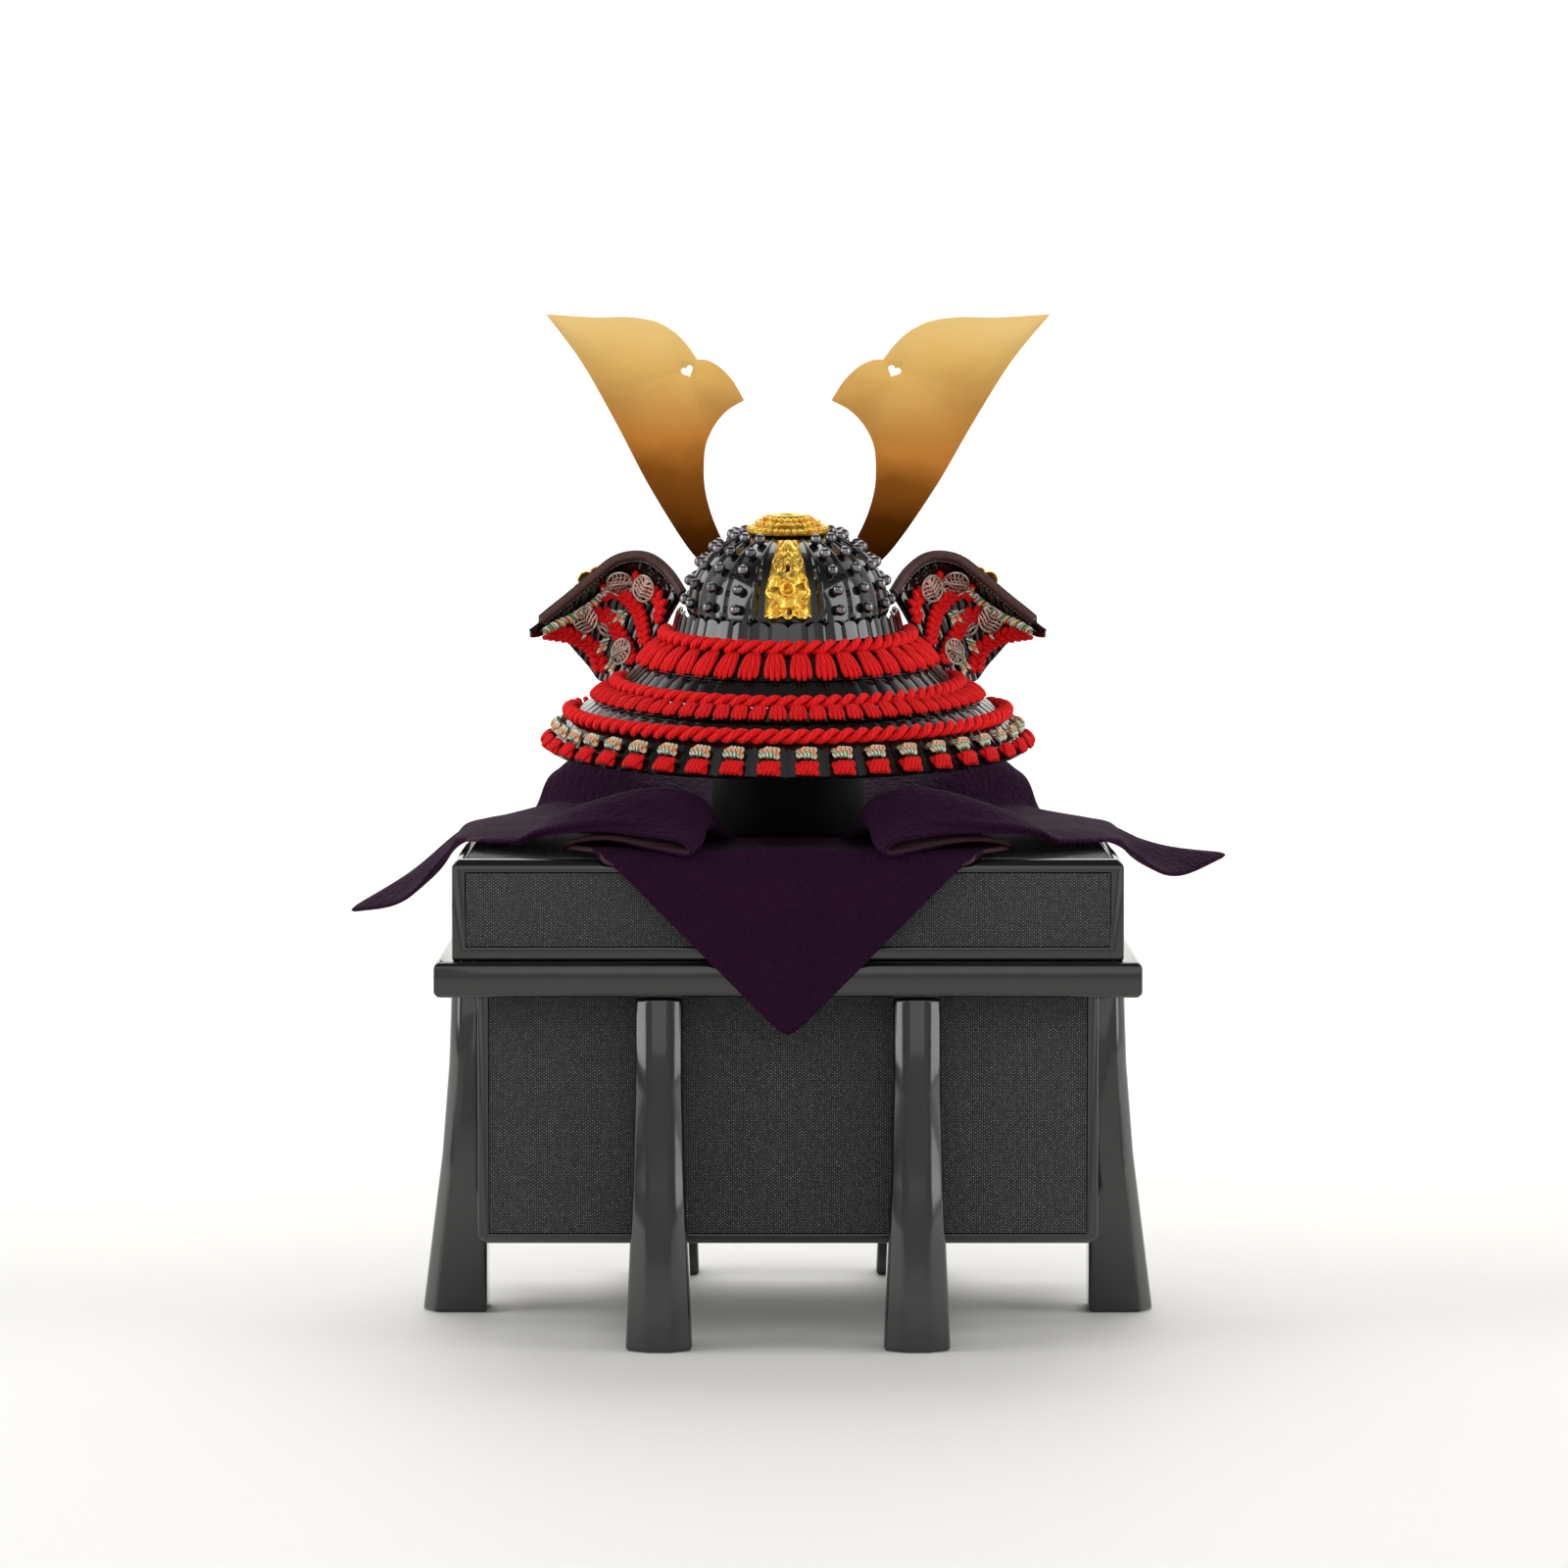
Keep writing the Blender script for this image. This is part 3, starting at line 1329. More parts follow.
def ring_point(rx: float, ry: float, angle: float, z: float, front: float = 50.0) -> Vector:
    """Returns a point of a lame's ring; the angle is in degrees from the back."""
    a = math.radians(angle)
    depth = ry if math.cos(a) > 0 else front
    return Vector((rx * math.sin(a), -depth * math.cos(a), z))


def even_angles(rx: float, ry: float, end: float, pitch: float) -> List[float]:
    """Returns the angles of equal steps along a ring, the same to both sides of the back.

    Args:
        rx: the ring's half width.
        ry: the ring's reach to the back.
        end: the last angle, in degrees.
        pitch: the wanted step, in mm.
    """
    steps = 240
    points = [ring_point(rx, ry, i / steps * end, 0) for i in range(steps + 1)]
    lengths = [0.0]
    for a, b in zip(points, points[1:]):
        lengths.append(lengths[-1] + (b - a).length)
    half = round(lengths[-1] / pitch)
    angles, i = [], 0
    for k in range(half + 1):
        target = lengths[-1] * k / half
        while i < steps and lengths[i] < target - 1e-9:
            i += 1
        angles.append(i / steps * end)
    return [-a for a in angles[:0:-1]] + angles


@dataclass(frozen=True)
class Lame:
    """One tier of the neck guard: its rows of half width, reach to the back and height."""

    name: str
    end: float
    rows: Tuple[Tuple[float, float, float], ...]

    def point(self, angle: float, down: float, out: float) -> Vector:
        """Returns a point at a share down the tier, `out` mm in front of it."""
        rx, ry, z = smooth_row(self.rows, down * (len(self.rows) - 1)) if len(self.rows) > 2 else [
            a + (b - a) * down for a, b in zip(self.rows[0], self.rows[-1])
        ]
        (ax, _, az), (bx, _, bz) = self.rows[0], self.rows[-1]
        slope = Vector((az - bz, 0, bx - ax)).normalized()
        ring = ring_point(rx + out * slope.x, ry + out * slope.x, angle, z + out * slope.z)
        return ring


@dataclass
class NeckGuard:
    """The flared neck guard of scales, with its ropes, lacing and knots."""

    pitch: float = 7.6
    lames: Tuple[Lame, ...] = (
        Lame("upper", 108, ((42.3, 47.3, 1.6), (46.2, 51.2, -12.5))),
        Lame("middle", 112, ((50.8, 55.8, -14.6), (65.2, 69.2, -28.0))),
        Lame("lower", 116, ((69.0, 72.4, -29.4), (82.0, 82.0, -38.6), (94.2, 92.4, -52.6))),
    )
    # name, half width, reach to the back, height, last angle
    ropes: Tuple[Tuple[str, float, float, float, float], ...] = (
        ("upper", 48.2, 53.2, -7.0, 104), ("middle", 67.2, 71.4, -26.0, 109),
        ("lower", 85.6, 85.4, -37.2, 114),
    )

    def build(self, finishes: Finishes) -> None:
        """Builds every tier."""
        for lame in self.lames:
            self.build_lame(lame, finishes)
        for name, rx, ry, z, end in self.ropes:
            self.build_rope(name, rx, ry, z, end, finishes)
        upper = ((49.4, 54.4, -9.6), (58.8, 63.6, -18.2))
        middle = ((69.8, 73.6, -27.6), (77.2, 80.2, -31.8))
        self.build_lacing("upper", upper, 107, 9.5, 4, 1.15, finishes)
        self.build_lacing("middle", middle, 111, 7.4, 4, 0.95, finishes)
        self.build_knots("coloured", (90.6, 89.6, -43.6), 13.0, finishes)
        self.build_knots("red", (94.2, 92.8, -49.0), 13.6, finishes)

    def build_lame(self, lame: Lame, finishes: Finishes) -> None:
        """Builds one tier: a backing, narrow round-headed scales and the stitches between them."""
        piece = Piece(f"scales_{lame.name}")
        folds = 3 if len(lame.rows) > 2 else 1
        backing = new_sheet(90, 3 * folds,
                            lambda u, v: lame.point((2 * u - 1) * lame.end, 0.12 + 0.88 * v, -0.5))
        thicken(backing, 0.8)
        piece.add(backing)
        rx, ry, _ = lame.rows[len(lame.rows) // 2]
        joints = even_angles(rx, ry, lame.end, self.pitch)
        for a, b in zip(joints, joints[1:]):

            def place(u: float, v: float, a: float = a, b: float = b) -> Vector:
                """Returns a point of the scale, which laps over its neighbour."""
                x = 2 * u - 1
                head = 0.13 * abs(x) ** 2.6 * max(0.0, 1 - v * 2.2)
                width = 0.5 + 0.49 * x
                lift = 0.5 + 0.32 * (1 - x * x) - 0.16 * x
                return lame.point(a + (b - a) * width, v * (1 - head) + head, lift)

            scale = new_sheet(8, 5 * folds, place)
            thicken(scale, 0.7)
            piece.add(scale)
        for angle in joints[1:-1]:
            count = 6 * folds
            for k in range(count):
                start = 0.2 + 0.78 * k / count
                ends = [lame.point(angle, start + 0.78 / count * 0.62 * t, 0.75) for t in (0, 0.5, 1)]
                outs = [(lame.point(angle, start, 3) - lame.point(angle, start, 0)).normalized()] * 3
                piece.add(strand(ends, outs, 0.16, 4), 1)
        piece.finish("scale", [finishes["scale"], finishes["thread"]], [f"lame_{lame.name}"],
                     smooth_below=35.0)

    def build_rope(self, name: str, rx: float, ry: float, z: float, end: float, finishes: Finishes) -> None:
        """Builds a rope of two thick strands laid round each other."""
        piece = Piece(f"rope_of_{name}")
        lay, strand_radius, off = 11.8, 1.5, 1.62
        steps = int(2 * math.radians(end) * (rx + ry) / 2 / 0.75)
        centre = [ring_point(rx + 0.3, ry + 0.3, (2 * i / steps - 1) * end, z) for i in range(steps + 1)]
        lengths = [0.0]
        for a, b in zip(centre, centre[1:]):
            lengths.append(lengths[-1] + (b - a).length)
        for phase in (0.0, math.pi):
            line, outs = [], []
            for i, point in enumerate(centre):
                ahead = (centre[min(i + 1, steps)] - centre[max(i - 1, 0)]).normalized()
                out = ahead.cross(Vector((0, 0, 1))).normalized()
                if out.dot(point) < 0:
                    out = -out
                up = Vector((0, 0, 1))
                turn = 2 * math.pi * lengths[i] / lay + phase
                away = out * math.cos(turn) * 1.15 + up * math.sin(turn)
                line.append(point + away * off)
                outs.append(away.normalized())
            piece.add(strand(line, outs, strand_radius, 12, 0.95, 0.4))
        piece.finish("red_cord", [finishes["red_rope"]], [f"rope_{name}"], smooth_below=80.0)

    def build_lacing(self, name: str, rows: Sequence[Tuple[float, float, float]], end: float, pitch: float,
                     yarns: int, radius: float, finishes: Finishes) -> None:
        """Builds the upright bundles of yarn that hang one tier from the next.

        Args:
            name: the tier above.
            rows: ring of the bundles' heads and of their feet.
            end: the last angle, in degrees.
            pitch: step between bundles, in mm.
            yarns: yarns in a bundle.
            radius: half a yarn's width.
            finishes: the materials.
        """
        piece = Piece(f"lacing_of_{name}")
        lame = Lame(name, end, (rows[0], rows[1]))
        luck = random.Random(name)
        joints = even_angles((rows[0][0] + rows[1][0]) / 2, (rows[0][1] + rows[1][1]) / 2, end, pitch)
        for a, b in zip(joints, joints[1:]):
            lean = luck.uniform(-0.12, 0.12)
            for k in range(yarns):
                across = (k + 0.5) / yarns - 0.5
                line, outs = [], []
                for i in range(9):
                    v = i / 8
                    spread = 0.5 + 0.34 * math.sin(v * math.pi * 0.62)
                    share = 0.5 + across * spread + lean * (v - 0.5)
                    bulge = radius * 0.4 + 1.3 * math.sin(math.pi * (0.1 + v * 0.86)) * (1 - 2.2 * across**2)
                    foot = 0.16 * (1 - 4 * across * across) - 0.06
                    angle = a + (b - a) * share
                    line.append(lame.point(angle, v * (0.98 + foot), bulge))
                    outs.append((lame.point(angle, v, 3) - lame.point(angle, v, 0)).normalized())
                piece.add(strand(line, outs, radius, 8, 0.8, 0.45))
        back = new_sheet(80, 3, lambda u, v: lame.point((2 * u - 1) * end, v, -0.9))
        thicken(back, 0.5)
        piece.add(back, 1)
        piece.finish("red_cord", [finishes["red_cord"], finishes["scale"]], [f"lacing_{name}"],
                     smooth_below=80.0)

    def build_knots(
        self, name: str, ring: Tuple[float, float, float], pitch: float, finishes: Finishes
    ) -> None:
        """Builds a row of flat plaited knots.

        Args:
            name: coloured or red.
            ring: half width, reach to the back and height of the row.
            pitch: step between knots, in mm.
            finishes: the materials.
        """
        red = name == "red"
        rx, ry, z = ring
        slope = Vector((14.0, 0, 12.0)).normalized()
        piece = Piece(f"knots_of_{name}")
        joints = even_angles(rx, ry, 112, pitch)
        for a, b in zip(joints, joints[1:]):
            middle = (a + b) / 2
            base = ring_point(rx, ry, middle, z)
            side = (ring_point(rx, ry, middle + 1, z) - base).normalized()
            out = side.cross(Vector((0, 0, 1))).normalized()
            if out.dot(base) < 0:
                out = -out
            out = (out * slope.x + Vector((0, 0, 1)) * slope.z).normalized()
            up = side.cross(out)
            up = up if up.z > 0 else -up
            self.plait(piece, base - out * 0.4, side, up, out, red)
        piece.finish("red_cord" if red else "braid", [finishes["red_cord" if red else "braid"]],
                     [f"knots_{name}"],
                     smooth_below=80.0)

    @staticmethod
    def plait(piece: Piece, base: Vector, side: Vector, up: Vector, out: Vector, red: bool) -> None:
        """Adds one knot of crossing yarns."""
        if red:
            half, tall, radius, shifts = 3.8, 2.9, 0.95, (-3.3, -1.7, 0.0, 1.7, 3.3)
        else:
            half, tall, radius, shifts = 4.2, 2.2, 0.9, (-2.7, -0.9, 0.9, 2.7)
        for sense, level in ((-1, 0.2), (1, 1.2)):
            for shift in shifts:
                line, outs = [], []
                for i in range(11):
                    t = 2 * i / 10 - 1
                    x = max(-half, min(half, shift + t * half * 0.5))
                    y = sense * t * tall
                    pinch = 1 - (0.1 * (1 - abs(t)) if red else 0.4 * abs(t) ** 1.5)
                    dome = (1 - (x / (half + 1.2)) ** 2) * (1 - (y / (tall + 1.4)) ** 2)
                    line.append(base + side * x * pinch + up * y + out * (level + 1.3 * dome))
                    outs.append(out)
                piece.add(strand(line, outs, radius, 8, 0.9, 0.5))


# ---------------------------------------------------------------- wings


@dataclass
class Wing:
    """One turned-back wing: leather facing, laced scales, braid, pierced leaves and a gilt flower."""

    side: Side
    plate: float = 1.3
    leather: float = 1.3
    gap: float = 0.3
    # top edge, shoulder and lower edge, from the root out to the tip
    rows: List[Tuple[float, ...]] = field(
        default_factory=lambda: [
            (41.5, 19, 7.5, 46.5, 22, 0, 60.5, 21, -26.5), (47.5, 25, 15.2, 51.6, 30, 5.4, 66, 28, -29.4),
            (54.5, 28, 20, 58.4, 35.5, 10.2, 71, 33, -30.6),
            (62, 29.5, 20.6, 65.2, 38.4, 10.6, 75.5, 35.6, -30.4),
            (69.5, 29.5, 18, 72.2, 38.6, 8.6, 79.6, 36, -25), (78, 28, 11.2, 79.6, 36.8, 2.6, 84, 35, -19.8),
            (87, 25, 4, 87.6, 32.4, -3.4, 89, 32, -14), (95, 22, -2.2, 95.2, 27.4, -7, 95.6, 27.6, -12),
            (102.4, 19.5, -8.4, 102.2, 21, -10, 102, 21.4, -11.6),
        ]
    )
    # along, down, lift off the plate and turn of each pierced leaf
    leaves: Tuple[Tuple[float, float, float, float], ...] = (
        (1.35, 12.5, 4.9, 30), (3.2, 13.2, 4.9, 80), (3.1, 32.5, 2.6, 10), (5.3, 18.2, 4.4, -40),
        (1.2, 39.6, 4.4, 60),
    )
    stations: int = 24
    stitch_pitch: float = 3.3
    # courses of the red lacing: the two rows at the top, and the two below them
    top_paths: Tuple[Tuple[Tuple[float, float], ...], ...] = (
        ((0.05, 17), (0.35, 10.5), (1.0, 12), (1.9, 13.5), (2.6, 11)),
        ((0.0, 27), (0.7, 25), (1.6, 23), (2.5, 21.5), (3.4, 18), (4.2, 17)),
    )
    low_paths: Tuple[Tuple[Tuple[float, float], ...], ...] = (
        ((0.3, 37), (1.4, 37.5), (2.2, 36), (3.3, 30), (4.4, 23.5), (5.1, 18)),
        ((2.7, 53), (3.2, 48.5), (4.4, 36), (5.0, 29.5), (5.9, 19.5), (6.8, 11.5), (7.3, 6)),
    )
    # course of the long coloured braid, and middles of its loose crossings
    twist_path: Tuple[Tuple[float, float], ...] = (
        (7.4, 3.4), (6.7, 6.2), (5.5, 11.5), (4.4, 14.5), (3.6, 12)
    )
    crossings: Tuple[Tuple[float, float], ...] = ((4.75, 25.5), (3.2, 41.5), (1.8, 49), (2.3, 30), (4.2, 12))

    def edge_points(self, along: float) -> Tuple[Vector, Vector, Vector]:
        """Returns the top edge, shoulder and lower edge at a place along the wing."""
        row = smooth_row(self.rows, max(0.0, min(along, len(self.rows) - 1)))
        return Vector(row[:3]), Vector(row[3:6]), Vector(row[6:])

    def depth(self, along: float) -> Tuple[float, float]:
        """Returns the way down to the shoulder and to the lower edge."""
        top, shoulder, foot = self.edge_points(along)
        upper = (shoulder - top).length
        return upper, upper + (foot - shoulder).length

    def bare(self, along: float, down: float) -> Vector:
        """Returns the plate's middle at a place along it, `down` mm below its top edge."""
        top, shoulder, foot = self.edge_points(along)
        upper = (shoulder - top).length
        lower = (foot - shoulder).length
        soft = 5.0

        def path(d: float) -> Vector:
            """Returns the point on the bent line."""
            if d <= upper:
                return top.lerp(shoulder, d / upper)
            return shoulder.lerp(foot, (d - upper) / max(lower, 0.1))

        if abs(down - upper) < soft and upper > soft:
            t = (down - upper + soft) / (2 * soft)
            a, b, c = path(upper - soft), path(upper), path(min(upper + soft, upper + lower))
            return a.lerp(b, t).lerp(b.lerp(c, t), t)
        return path(down)

    def normal(self, along: float, down: float) -> Vector:
        """Returns the direction towards the helmet's front."""
        ahead = self.bare(min(along + 0.08, 8), down) - self.bare(max(along - 0.08, 0), down)
        below = self.bare(along, down + 1.5) - self.bare(along, max(down - 1.5, 0))
        out = ahead.cross(below).normalized()
        return out if out.y > 0 else -out

    def point(self, along: float, down: float, out: float) -> Vector:
        """Returns a point `out` mm in front of the plate's middle."""
        return self.bare(along, down) + self.normal(along, down) * out

    def close(self, piece: Piece, slot: str, materials: Sequence[bpy.types.Material], stem: str,
              smooth_below: float = 60.0) -> None:
        """Finishes a piece of this wing, in place of the plain solid of that stem."""
        if self.side is Side.LEFT:
            piece.mirror()
        piece.finish(slot, materials, [f"{stem}_{self.side.name.lower()}"], smooth_below=smooth_below)

    def build(self, finishes: Finishes) -> None:
        """Builds the wing."""
        label = self.side.name.lower()
        self.build_plate(Piece(f"wing_scales_{label}"), finishes)
        self.build_facing(Piece(f"wing_facing_{label}"), finishes)
        self.build_lacing(Piece(f"wing_zigzag_top_{label}"), finishes, self.top_paths, "wing_lacing_upper")
        self.build_lacing(Piece(f"wing_zigzag_low_{label}"), finishes, self.low_paths, "wing_lacing_lower")
        self.build_braid(Piece(f"wing_twist_{label}"), finishes)
        self.build_flower(Piece(f"wing_flower_{label}"), finishes)
        for number in range(len(self.leaves)):
            self.build_leaf(Piece(f"wing_leaf_{number + 1}_{label}"), finishes, number)

    def build_plate(self, piece: Piece, finishes: Finishes) -> None:
        """Builds the plate behind the facing, with upright scales on its near side."""

        def back(u: float, v: float) -> Vector:
            """Returns the plate's far face."""
            along = u * 8
            return self.point(along, 2.5 * (1 - u**6) + (self.depth(along)[1] - 2.5 * (1 - u**6)) * v, 0.4)

        sheet = new_sheet(34, 22, back)
        thicken(sheet, 0.9)
        piece.add(sheet)
        count = 15
        for k in range(count):
            a, b = 0.05 + 7.4 * k / count, 0.05 + 7.4 * (k + 1) / count

            def place(u: float, v: float, a: float = a, b: float = b) -> Vector:
                """Returns a point of a scale."""
                x = 2 * u - 1
                along = a + (b - a) * (0.5 + 0.48 * x)
                whole = self.depth(along)[1]
                top = 3.6 + 1.6 * abs(x) ** 2.5
                return self.point(along, top + max(whole - 0.4 - top, 1.0) * v, -0.75 - 0.5 * (1 - x * x))

            scale = new_sheet(5, 9, place)
            thicken(scale, 0.5)
            piece.add(scale)
        for k in range(46):
            along = 0.2 + 7.1 * k / 46
            ends = [self.point(along + 0.1 * t, 3.2, -0.95) for t in (0, 0.5, 1)]
            piece.add(strand(ends, [-self.normal(along, 3.2)] * 3, 0.2, 4), 1)
        self.close(piece, "scale", [finishes["scale"], finishes["thread"]], "wing_plate", 40.0)

    def build_facing(self, piece: Piece, finishes: Finishes) -> None:
        """Builds the leather facing and the rolled border that turns over the top edge."""
        near, far = self.plate / 2 + self.gap, self.plate / 2 + self.gap + self.leather

        def face(u: float, v: float) -> Vector:
            """Returns the facing's near side."""
            along = u * 7.3
            return self.point(along, max(self.depth(along)[1] - 1, 0.5) * v, near)

        sheet = new_sheet(40, 22, face)
        face_out(sheet)
        if sum(f.normal.y for f in sheet.faces) < 0:
            bmesh.ops.reverse_faces(sheet, faces=list(sheet.faces))
        bmesh.ops.solidify(sheet, geom=list(sheet.faces), thickness=-(far - near))
        piece.add(sheet)

        def roll(u: float, v: float) -> Vector:
            """Returns the border's section, folded over the edge from the front to the back."""
            along = u * 7.3
            turn = 2 * math.pi * v
            down = 1.5 - 2.1 * math.cos(turn)
            lift = 0.35 + 1.75 * math.sin(turn) * (1 if math.sin(turn) > 0 else 0.85)
            return self.point(along, max(down, -0.2), lift)

        piece.add(new_sheet(60, 12, roll, wrap=True))
        for k in range(58):
            along = 0.1 + 7.1 * k / 58
            ends = [self.point(along + 0.08 * t, 3.3, far + 0.1) for t in (0, 0.5, 1)]
            piece.add(strand(ends, [self.normal(along, 3.3)] * 3, 0.22, 4), 1)
        self.close(piece, "leather", [finishes["leather"], finishes["thread"]], "wing_leather")

    def build_lacing(self, piece: Piece, finishes: Finishes, paths: Sequence[Sequence[Tuple[float, float]]],
                     stem: str) -> None:
        """Builds rows of fat red stitches, two abreast and set like the barbs of a feather.

        Args:
            piece: the empty piece.
            finishes: the materials.
            paths: each row's course, along and down the wing.
            stem: name of the plain solid without its side.
        """
        for path in paths:
            stations = [on_path(path, i / self.stations) for i in range(self.stations + 1)]
            lengths = [0.0]
            for (a0, d0), (a1, d1) in zip(stations, stations[1:]):
                lengths.append(lengths[-1] + (self.bare(a1, d1) - self.bare(a0, d0)).length)
            count = max(3, round(lengths[-1] / self.stitch_pitch))
            for k in range(count):
                for sign in (-1, 1):
                    target = lengths[-1] * (k + 0.5 + 0.22 * sign) / count
                    i = max(j for j in range(self.stations) if lengths[j] <= target)
                    (a0, d0), (a1, d1) = stations[i], stations[i + 1]
                    share = (target - lengths[i]) / (lengths[i + 1] - lengths[i])
                    along, down = a0 + (a1 - a0) * share, d0 + (d1 - d0) * share
                    here = self.bare(along, down)
                    ahead = (self.bare(a1, d1) - self.bare(a0, d0)).normalized()
                    out = -self.normal(along, down)
                    across = ahead.cross(out).normalized() * sign
                    line = [
                        here
                        + out * (2.1 + 1.3 * math.sin(math.pi * (0.15 + 0.75 * t)))
                        + across * (-0.4 + 3.7 * t)
                        + ahead * (2.6 * t - 1.3)
                        for t in (0, 0.25, 0.5, 0.75, 1)
                    ]
                    piece.add(strand(line, [out] * 5, 1.5, 9, 0.8, 0.5))
        self.close(piece, "red_cord", [finishes["red_cord"]], stem, 80.0)

    def build_braid(self, piece: Piece, finishes: Finishes) -> None:
        """Builds the coloured two-strand braid under the border."""
        steps = 90
        for phase in (0.0, math.pi):
            line, outs = [], []
            for i in range(steps + 1):
                along, down = on_path(self.twist_path, i / steps)
                down += 1.15 * math.sin(i * 0.5 + phase)
                line.append(self.point(along, down, -3.6 - 1.0 * math.cos(i * 0.5 + phase)))
                outs.append(-self.normal(along, down))
            piece.add(strand(line, outs, 1.15, 8, 0.9, 0.3))
        for along, down in self.crossings:
            for shift in (-0.16, 0.16):
                for sign in (-1, 1):
                    lift = -3.2 - 0.7 * sign * (shift > 0)
                    line = [self.point(along + shift + 0.2 * t * sign, down + 2.7 * t, lift)
                            for t in (-1, -0.5, 0, 0.5, 1)]
                    piece.add(strand(line, [-self.normal(along, down)] * 5, 0.9, 8, 0.9, 0.3), 1)
        self.close(piece, "braid", [finishes["braid_long"], finishes["braid"]], "wing_braid", 80.0)

    def build_flower(self, piece: Piece, finishes: Finishes) -> None:
        """Builds the gilt flower on the facing."""
        along, down, reach, petals = 4.3, 16.0, 10.2, 8

        def petal(u: float, v: float) -> Vector:
            """Returns the flower's face, with cupped petals round a boss."""
            turn, r = 2 * math.pi * u, 0.4 + (reach - 0.4) * v
            lobe = abs(math.cos(turn * petals / 2))
            size = r * (0.82 + 0.18 * lobe**0.6) if v > 0.35 else r
            crest = 0.8 * math.sin(min(1.0, v) * math.pi) * (0.5 + 0.5 * lobe)
            rise = 1.6 * math.exp(-((r / 2.6) ** 2)) + crest
            return Vector((size * math.cos(turn), size * math.sin(turn), rise + 0.5))

        bm = new_sheet(96, 12, petal)
        bmesh.ops.remove_doubles(bm, verts=list(bm.verts), dist=1e-3)
        inner = [e for e in bm.edges if e.is_boundary and e.verts[0].co.xy.length < 2]
        bmesh.ops.holes_fill(bm, edges=inner, sides=0)
        thicken(bm, 0.8)
        centre = self.point(along, down, self.plate / 2 + self.leather + 2.0)
        turn = self.normal(along, down).to_track_quat("Z", "Y").to_matrix().to_4x4()
        piece.add(bm, 0, Matrix.Translation(centre) @ turn)
        self.close(piece, "gilt", [finishes["gilt"]], "wing_crest")

    def build_leaf(self, piece: Piece, finishes: Finishes, number: int) -> None:
        """Builds a round pierced leaf: a rim, a midrib and forked veins."""
        along, down, lift, spin = self.leaves[number]
        radius, wire = 5.1, 0.42
        up = Vector((0, 0, 1))

        def vein(points: Sequence[Tuple[float, float]], size: float = wire) -> None:
            """Adds one vein through the points."""
            line = [Vector((x, y, 0.35 * (1 - (x * x + y * y) / radius**2))) for x, y in points]
            piece.add(strand(line, [up] * len(line), size, 5, 0.8))

        rim = [(radius * math.cos(t * math.pi / 18), radius * math.sin(t * math.pi / 18)) for t in range(37)]
        vein(rim, 0.52)
        vein([(0, -radius), (0.25, -1.8), (0, 1.6), (0.1, radius)], 0.46)
        for k in range(5):
            y = -3.4 + 1.6 * k
            for sign in (-1, 1):
                reach = math.sqrt(max(radius**2 - (y + 1.6) ** 2, 0.4)) if y + 1.6 < radius else 0.8
                tip = (sign * reach * 0.97, y + 1.6)
                bend = (sign * reach * 0.5, y + 1.1)
                vein([(0.1, y), bend, tip])
                vein([bend, (sign * reach * 0.62, y + 2.2)], 0.26)
                vein([(sign * reach * 0.26, y + 0.5), (sign * reach * 0.3, y - 0.9)], 0.26)
        centre = self.point(along, down, -self.plate / 2 - self.gap - lift)
        turn = (-self.normal(along, down)).to_track_quat("Z", "Y").to_matrix().to_4x4()
        piece.bm.transform(Matrix.Translation(centre) @ turn @ Matrix.Rotation(math.radians(spin), 4, "Z"))
        self.close(piece, "rose_metal", [finishes["rose_metal"]], f"wing_disc_{number + 1}")


# ---------------------------------------------------------------- stand and studio


@dataclass
class Post:
    """The plain turned stand that holds the helmet over the cloth."""

    drum_height: float = 46.0

    def build(self, finishes: Finishes) -> None:
        """Turns the post to the plain solid's heights."""
        low, high = (corner.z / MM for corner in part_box("helmet_post"))
        drum = low + self.drum_height
        profile = [(0, low), (29.6, low), (30, low + 0.6), (30, drum - 2), (29.4, drum - 0.7), (28, drum),
                   (7, drum), (5.2, drum + 1.5), (5, drum + 6), (5, high - 12), (5.4, high - 8),
                   (12.5, high - 6), (13.6, high - 5), (13.2, high - 1.6), (11.4, high - 0.3), (0, high)]
        piece = Piece("turned_post")
        piece.add(lathe(profile, 48))
        piece.finish("wood", [finishes["wood"]], ["helmet_post"], PLAIN, smooth_below=50.0)


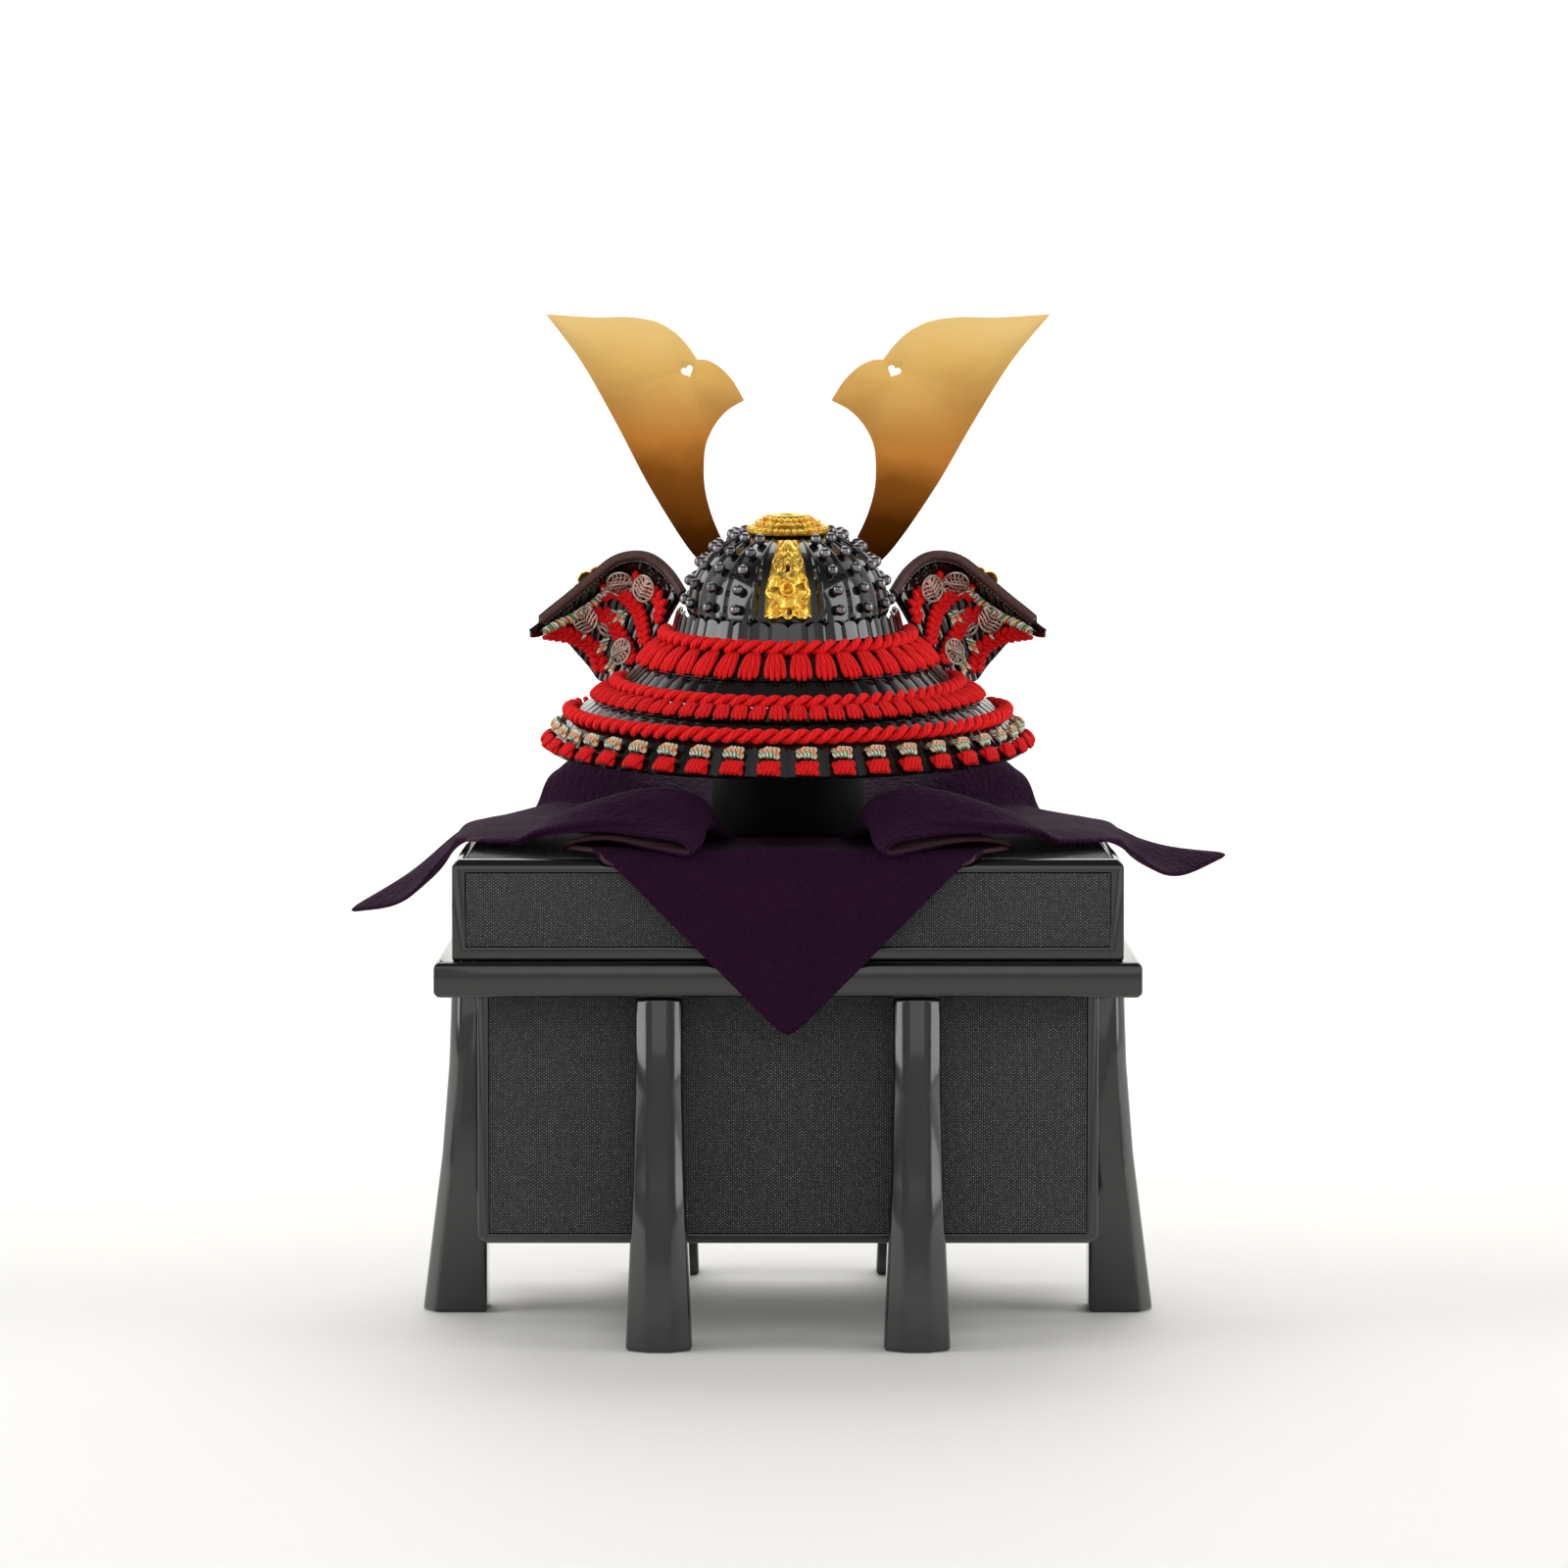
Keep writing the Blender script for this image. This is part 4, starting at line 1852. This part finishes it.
@dataclass
class Studio:
    """Pale sweep, soft light and the camera."""

    distance: float = 2.55
    height: float = 0.382
    pitch: float = 3.9
    lens: float = 148.9
    pale: Colour = (0.86, 0.85, 0.82)

    def build(self) -> None:
        """Builds the floor, the lights and the camera."""
        self.build_sweep()
        self.build_lights()
        camera = new_object("camera", bpy.data.cameras.new("camera"))
        camera.location = (-0.0015, -self.distance, self.height)
        camera.rotation_euler = (math.radians(90 - self.pitch), 0, 0)
        camera.data.lens = self.lens
        camera.data.sensor_width = 36.0
        camera.data.clip_start, camera.data.clip_end = 0.05, 40.0
        bpy.context.scene.camera = camera
        bpy.context.scene.view_settings.view_transform = "Standard"

    def build_sweep(self) -> None:
        """Builds a wide floor that curves up into a pale wall."""
        start, radius = 1.6, 1.2
        line = [(-6.0, 0.0), (start, 0.0)]
        line += [(start + radius * math.sin(t * math.pi / 24), radius * (1 - math.cos(t * math.pi / 24)))
                 for t in range(1, 13)]
        line.append((start + radius, 5.0))

        def place(u: float, v: float) -> Vector:
            """Returns a point of the sweep."""
            k = min(int(round(v * (len(line) - 1))), len(line) - 1)
            return Vector((12 * u - 6, line[k][0], line[k][1]))

        bm = new_sheet(4, len(line) - 1, place)
        face_out(bm)
        mesh = bpy.data.meshes.new("floor")
        for face in bm.faces:
            face.smooth = True
        bm.to_mesh(mesh)
        bm.free()
        floor = new_object("floor", mesh)
        material = bpy.data.materials.new("pale_floor")
        material.use_nodes = True
        shader = material.node_tree.nodes["Principled BSDF"]
        tree = Tree(material.node_tree)
        away = tree.add("ShaderNodeSeparateXYZ", Vector=object_place(tree)).outputs["Y"]
        glow = tree.add("ShaderNodeMapRange", {"interpolation_type": "SMOOTHSTEP"}, Value=away, From_Min=0.3,
                        From_Max=2.4, To_Min=0.0, To_Max=0.34)
        tree.put(
            shader,
            Base_Color=self.pale,
            Roughness=0.6,
            Specular_IOR_Level=0.25,
            Emission_Color=(1.0, 1.0, 0.985),
            Emission_Strength=glow.outputs[0],
        )
        mesh.materials.append(material)

    @staticmethod
    def build_lights() -> None:
        """Builds the soft boxes and the even pale surroundings."""
        world = bpy.data.worlds.new("studio")
        bpy.context.scene.world = world
        world.use_nodes = True
        tree = Tree(world.node_tree)
        background = world.node_tree.nodes["Background"]
        background.inputs["Color"].default_value = (1.0, 0.995, 0.985, 1.0)
        chart = tree.add("ShaderNodeTexCoord").outputs["Generated"]
        way = tree.add("ShaderNodeSeparateXYZ", Vector=chart).outputs
        smooth = {"interpolation_type": "SMOOTHSTEP"}
        far = tree.add("ShaderNodeMapRange", smooth, Value=way["Y"], From_Min=0.1, From_Max=0.6,
                       To_Min=0.1, To_Max=0.96)
        near = tree.add("ShaderNodeMapRange", smooth, Value=way["Y"], From_Min=-0.1, From_Max=-0.8,
                        To_Max=0.5)
        lit = tree.math("ADD", far.outputs[0], near.outputs[0])
        tree.feed(lit, background.inputs["Strength"])
        boxes = (
            ("left", (-2.6, -0.45, 1.2), (0, 0, 0.22), 2.2, 52.0),
            ("right", (2.7, -0.4, 1.1), (0, 0, 0.22), 2.2, 48.0),
            ("front", (0.1, -3.4, 1.9), (0, 0, 0.25), 3.4, 22.0),
            ("back", (0.0, 1.3, 1.6), (0, 0, 0.3), 1.6, 16.0),
        )
        for name, spot, aim, size, power in boxes:
            data = bpy.data.lights.new(name, "AREA")
            data.shape = "SQUARE"
            data.size, data.energy = size, power
            light = new_object(name, data)
            light.location = spot
            light.rotation_euler = (Vector(aim) - Vector(spot)).to_track_quat("-Z", "Y").to_euler()


def main() -> None:
    """Builds the object and its studio."""
    logging.basicConfig(level=logging.INFO, format="%(name)s: %(message)s")
    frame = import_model()
    nodes = frame["nodes"]
    Studio().build()
    finishes = Finishes()
    Chest().build(nodes, finishes)
    Cloth().build(finishes)
    Post().build(finishes)
    Bowl().build(finishes)
    Horns().build(finishes, nodes)
    NeckGuard().build(finishes)
    for side in Side:
        Wing(side).build(finishes)


if __name__ == "__main__":
    main()
